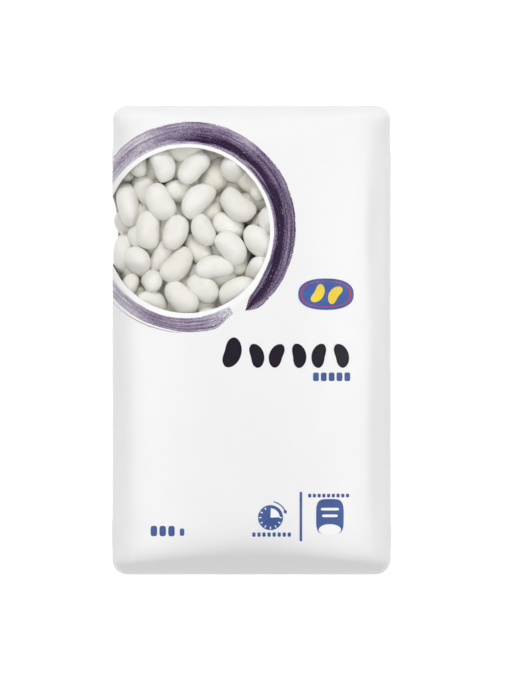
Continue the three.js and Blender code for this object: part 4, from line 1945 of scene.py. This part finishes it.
@dataclass
class BrushRing:
    """The ring that a wide brush drew round the window in one stroke.

    Angles are in degrees from the right, over the top. A pair of angles without a note
    is where something sets in and is full. The set-down's and the lift-off's shares are
    of the stroke's breadth.
    """

    skin: Skin
    x: float = -28.8
    y: float = 52.0
    inner: Circle = Circle(x=-30.65, y=50.6, radius=41.0)
    outer: Circle = Circle(x=-28.6, y=52.2, radius=49.3)
    first: float = -56.0  # where the brush sets down, at the lower right
    last: float = 297.0  # where it lifts off, short of its start
    columns: int = 620
    rows: int = 18
    lift: float = 0.09
    waves: tuple[tuple[float, int, float], ...] = (
        (0.16, 7, 0.4),
        (0.10, 17, 2.1),
        (0.07, 41, 4.0),
        (0.05, 83, 1.2),
    )  # height, number round the ring and phase
    inner_unevenness: float = 0.4
    outer_unevenness: float = 0.5
    broader_below: tuple[float, float] = (200, 235)
    broader_by: float = 0.7
    broad_at_top: tuple[float, float] = (112, 42)  # its middle, and how far it runs
    broad_at_top_by: float = 0.6
    narrow_start: tuple[float, float] = (4, 30)  # past the set-down, where it wears off
    narrow_start_by: float = 1.3
    narrow_from: tuple[float, float] = (190, 225)
    narrow_until: tuple[float, float] = (288, 296)  # where that wears off
    narrow_by: float = 0.8
    set_down: float = 9.0
    set_down_power: float = 0.6
    set_down_inner: float = 0.55
    set_down_outer: float = 0.42
    lift_off: float = 14.0
    lift_off_outer: float = 0.52
    stray_angles: tuple[float, float] = (223, 266)
    stray_columns: int = 150
    stray_rows: int = 3
    stray_reach: float = 49.75
    stray_drift: tuple[float, float] = (225, 268)
    stray_drift_by: float = 1.0
    stray_shake: tuple[float, float] = (0.05, 60)  # height, and number round the ring
    stray_half: tuple[float, float] = (0.01, 0.15)  # half-breadth at its ends, and what it gains
    stray_half_power: float = 0.4
    stray_across: tuple[float, float] = (0.45, 0.1)  # place in the brush, and half the share it takes

    def _edges(self, degrees: np.ndarray) -> tuple[np.ndarray, np.ndarray]:
        """Return the stroke's uneven inner and outer edges.

        Args:
            degrees: Angles along the stroke.

        Returns:
            Their distances from the ring's middle.
        """
        angle = np.radians(degrees)
        uneven = sum(height * np.sin(count * angle + phase) for height, count, phase in self.waves)
        inner = self.inner.reach_from(self.x, self.y, angle) + self.inner_unevenness * uneven
        inner = inner - self.broader_by * smooth(degrees, *self.broader_below)
        inner = inner - self.broad_at_top_by * bell(degrees, *self.broad_at_top)
        past_start = degrees - self.first
        inner = inner + self.narrow_start_by * (1 - smooth(past_start, *self.narrow_start))
        narrow = smooth(degrees, *self.narrow_from) * (1 - smooth(degrees, *self.narrow_until))
        outer = self.outer.reach_from(self.x, self.y, angle) + self.outer_unevenness * uneven[::-1]
        outer = outer - self.narrow_by * narrow
        breadth = outer - inner
        off_start = 1 - smooth(past_start, 0, self.set_down) ** self.set_down_power
        off_end = smooth(degrees, self.last - self.lift_off, self.last)
        inner = inner + off_start * self.set_down_inner * breadth
        outer = outer - off_start * self.set_down_outer * breadth
        return inner, outer - off_end * self.lift_off_outer * breadth

    def _brushed(
        self, name: str, degrees: np.ndarray, reach: np.ndarray, across: np.ndarray
    ) -> bpy.types.Object:
        """Make a brushed strip, with its places in the stroke in its UV map.

        Args:
            name: The piece's name.
            degrees: The angle of each of its columns.
            reach: Distances from the ring's middle, a row for each of its lines.
            across: The place of each line across the brush.

        Returns:
            The printed strip.
        """
        angle = np.radians(degrees)
        x, y = self.x + reach * np.cos(angle), self.y + reach * np.sin(angle)
        points = self.skin.place_drawn(x.ravel(), y.ravel(), self.lift)
        piece = make_piece(name, points, grid_faces(*reach.shape)[:, ::-1])
        hundreds = np.broadcast_to(degrees / 100, reach.shape)
        lines = np.broadcast_to(across, reach.shape)
        places = np.stack([hundreds.ravel(), lines.ravel()], axis=1)
        layer = piece.data.uv_layers.new(name="stroke")
        corner_points = np.empty(len(piece.data.loops), np.int32)
        piece.data.loops.foreach_get("vertex_index", corner_points)
        layer.data.foreach_set("uv", places[corner_points].astype(np.float32).ravel())
        return piece

    def stroke(self) -> bpy.types.Object:
        """Make the stroke, wrapped round the left side."""
        degrees = np.linspace(self.first, self.last, self.columns)
        inner, outer = self._edges(degrees)
        share = np.linspace(0, 1, self.rows)[:, None]
        return self._brushed("print_brush_ring", degrees, inner + share * (outer - inner), share)

    def stray_line(self) -> bpy.types.Object:
        """Make the thin line that a stray bristle left outside the stroke, at the lower left."""
        degrees = np.linspace(*self.stray_angles, self.stray_columns)
        shake, count = self.stray_shake
        middle = self.stray_reach - self.stray_drift_by * smooth(degrees, *self.stray_drift)
        middle = middle + shake * np.sin(np.radians(degrees) * count)
        least, gain = self.stray_half
        run = np.linspace(0, math.pi, self.stray_columns)
        half = gain * np.sin(run) ** self.stray_half_power + least
        share = np.linspace(-1, 1, self.stray_rows)[:, None]
        place, spread = self.stray_across
        return self._brushed("print_stray_line", degrees, middle + share * half, place + spread * share)

    def build(self, finishes: Finishes) -> None:
        """Make and dress the stroke and its stray line."""
        dress(self.stroke(), finishes.brush)
        dress(self.stray_line(), finishes.brush)


# ---- The studio ---------------------------------------------------------


@dataclass(frozen=True)
class Softbox:
    """A lamp that faces the bag, in metres and watts."""

    name: str
    place: tuple[float, float, float]
    size: tuple[float, float]
    power: float
    mirrored: bool = True  # whether the gloss of a surface shows it

    def hang(self, aim: Vector) -> None:
        """Make the lamp and turn it towards a place."""
        light = bpy.data.lights.new(self.name, "AREA")
        light.shape = "RECTANGLE"
        light.size, light.size_y = self.size
        light.energy = self.power
        lamp = bpy.data.objects.new(self.name, light)
        lamp.location = self.place
        lamp.rotation_mode = "QUATERNION"
        lamp.rotation_quaternion = (aim - Vector(self.place)).to_track_quat("-Z", "Y")
        lamp.visible_camera = False
        lamp.visible_glossy = self.mirrored
        bpy.context.scene.collection.objects.link(lamp)


@dataclass
class Studio:
    """A white floor, softboxes over the top and both sides of the bag, and a camera above."""

    film: Film
    floor_half: float = 5000.0
    floor_height: float = -0.3
    floor_shade: float = 0.25
    floor_roughness: float = 0.9
    floor_glow: float = 0.86
    sky_above: float = 0.365
    sky_below: float = 0.94  # which is what a white floor throws back
    horizon: tuple[float, float] = (-0.1, 0.1)
    softboxes: tuple[Softbox, ...] = (
        Softbox("key_light", (0.0, 1.3, 1.35), (0.6, 0.4), 11.9, mirrored=False),
        Softbox("left_light", (-0.85, 0.0, 1.3), (0.22, 1.2), 6.2),
        Softbox("right_light", (0.85, 0.0, 1.3), (0.22, 1.2), 6.2),
    )
    pixel: float = 0.468  # of the outline, in millimetres
    frame_size: tuple[int, int] = (516, 688)
    bag_middle: tuple[float, float] = (251.6, 340.05)  # of the outline, in pixels
    lens: float = 400.0
    sensor: float = 36.0
    farthest: float = 50.0  # that the camera sees, in metres

    def floor(self) -> None:
        """Lay a large white floor that glows a little, so that shadows stay faint."""
        half, height = self.floor_half, self.floor_height
        ways = ((-1, -1), (1, -1), (1, 1), (-1, 1))
        points = np.array([[half * x, half * y, height] for x, y in ways])
        floor = make_piece("studio_floor", points, [(0, 1, 2, 3)])
        material = bpy.data.materials.new("studio_white")
        material.use_nodes = True
        shader = material.node_tree.nodes["Principled BSDF"]
        shader.inputs["Base Color"].default_value = (*[self.floor_shade] * 3, 1.0)
        shader.inputs["Roughness"].default_value = self.floor_roughness
        shader.inputs["Specular IOR Level"].default_value = 0.0
        shader.inputs["Emission Color"].default_value = (1.0, 1.0, 1.0, 1.0)
        shader.inputs["Emission Strength"].default_value = self.floor_glow
        floor.data.materials.append(material)
        floor.visible_diffuse = False
        floor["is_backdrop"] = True

    def sky(self) -> None:
        """Fill the room with white light, stronger from below than from above."""
        world = bpy.data.worlds.new("studio_air")
        world.use_nodes = True
        nodes = Nodes(world.node_tree)
        background = world.node_tree.nodes["Background"]
        background.inputs["Color"].default_value = (1.0, 1.0, 1.0, 1.0)
        way = nodes.add("ShaderNodeTexCoord").outputs["Generated"]
        height = nodes.add("ShaderNodeSeparateXYZ", {"Vector": way}).outputs["Z"]
        upper = nodes.step(height, *self.horizon)
        strength = nodes.math("MULTIPLY_ADD", upper, self.sky_above - self.sky_below, self.sky_below)
        world.node_tree.links.new(strength, background.inputs["Strength"])
        bpy.context.scene.world = world

    def camera(self) -> None:
        """Set the camera over the bag, so that the outline is as large as in the photo."""
        middle_x, middle_y = self.bag_middle
        off_x = (self.frame_size[0] / 2 - middle_x) * self.pixel
        off_y = (middle_y - self.frame_size[1] / 2) * self.pixel
        away = self.frame_size[1] * self.pixel * self.lens / self.sensor
        data = bpy.data.cameras.new("camera")
        data.lens = self.lens
        data.sensor_width = self.sensor
        data.clip_end = self.farthest
        camera = bpy.data.objects.new("camera", data)
        camera.location = Vector((off_x, off_y, self.film.side_height + away)) * MM
        bpy.context.scene.collection.objects.link(camera)
        bpy.context.scene.camera = camera

    def build(self) -> None:
        """Set up the floor, the lights and the camera."""
        bpy.context.scene.view_settings.view_transform = "Standard"
        self.floor()
        self.sky()
        aim = Vector((0, 0, self.film.side_height * MM))
        for softbox in self.softboxes:
            softbox.hang(aim)
        self.camera()
        LOG.info("set up the studio")


# ---- The whole bag ------------------------------------------------------


def film_of_frame() -> Film:
    """Take the film's width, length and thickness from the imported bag."""
    low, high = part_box("bag")
    width, length, thickness = (high - low) / MM
    return Film(width, length, thickness)


def corners() -> list[list[float]]:
    """Return the shown object's lowest and highest corners as plain lists."""
    return [list(corner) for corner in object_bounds()]


def main() -> None:
    """Build the bag, the beans, the print and the studio, in that order."""
    logging.basicConfig(level=logging.INFO, format="%(name)s: %(message)s")
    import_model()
    film = film_of_frame()
    skin = Skin(film, Relief(film))
    window = Window()
    finishes = Finishes()
    FilmBag(skin, window).build(finishes)
    BeanHeap(skin, Pour(film, window)).build(finishes)
    Print(skin, window, finishes).build()
    Studio(film).build()


if __name__ == "__main__":
    main()
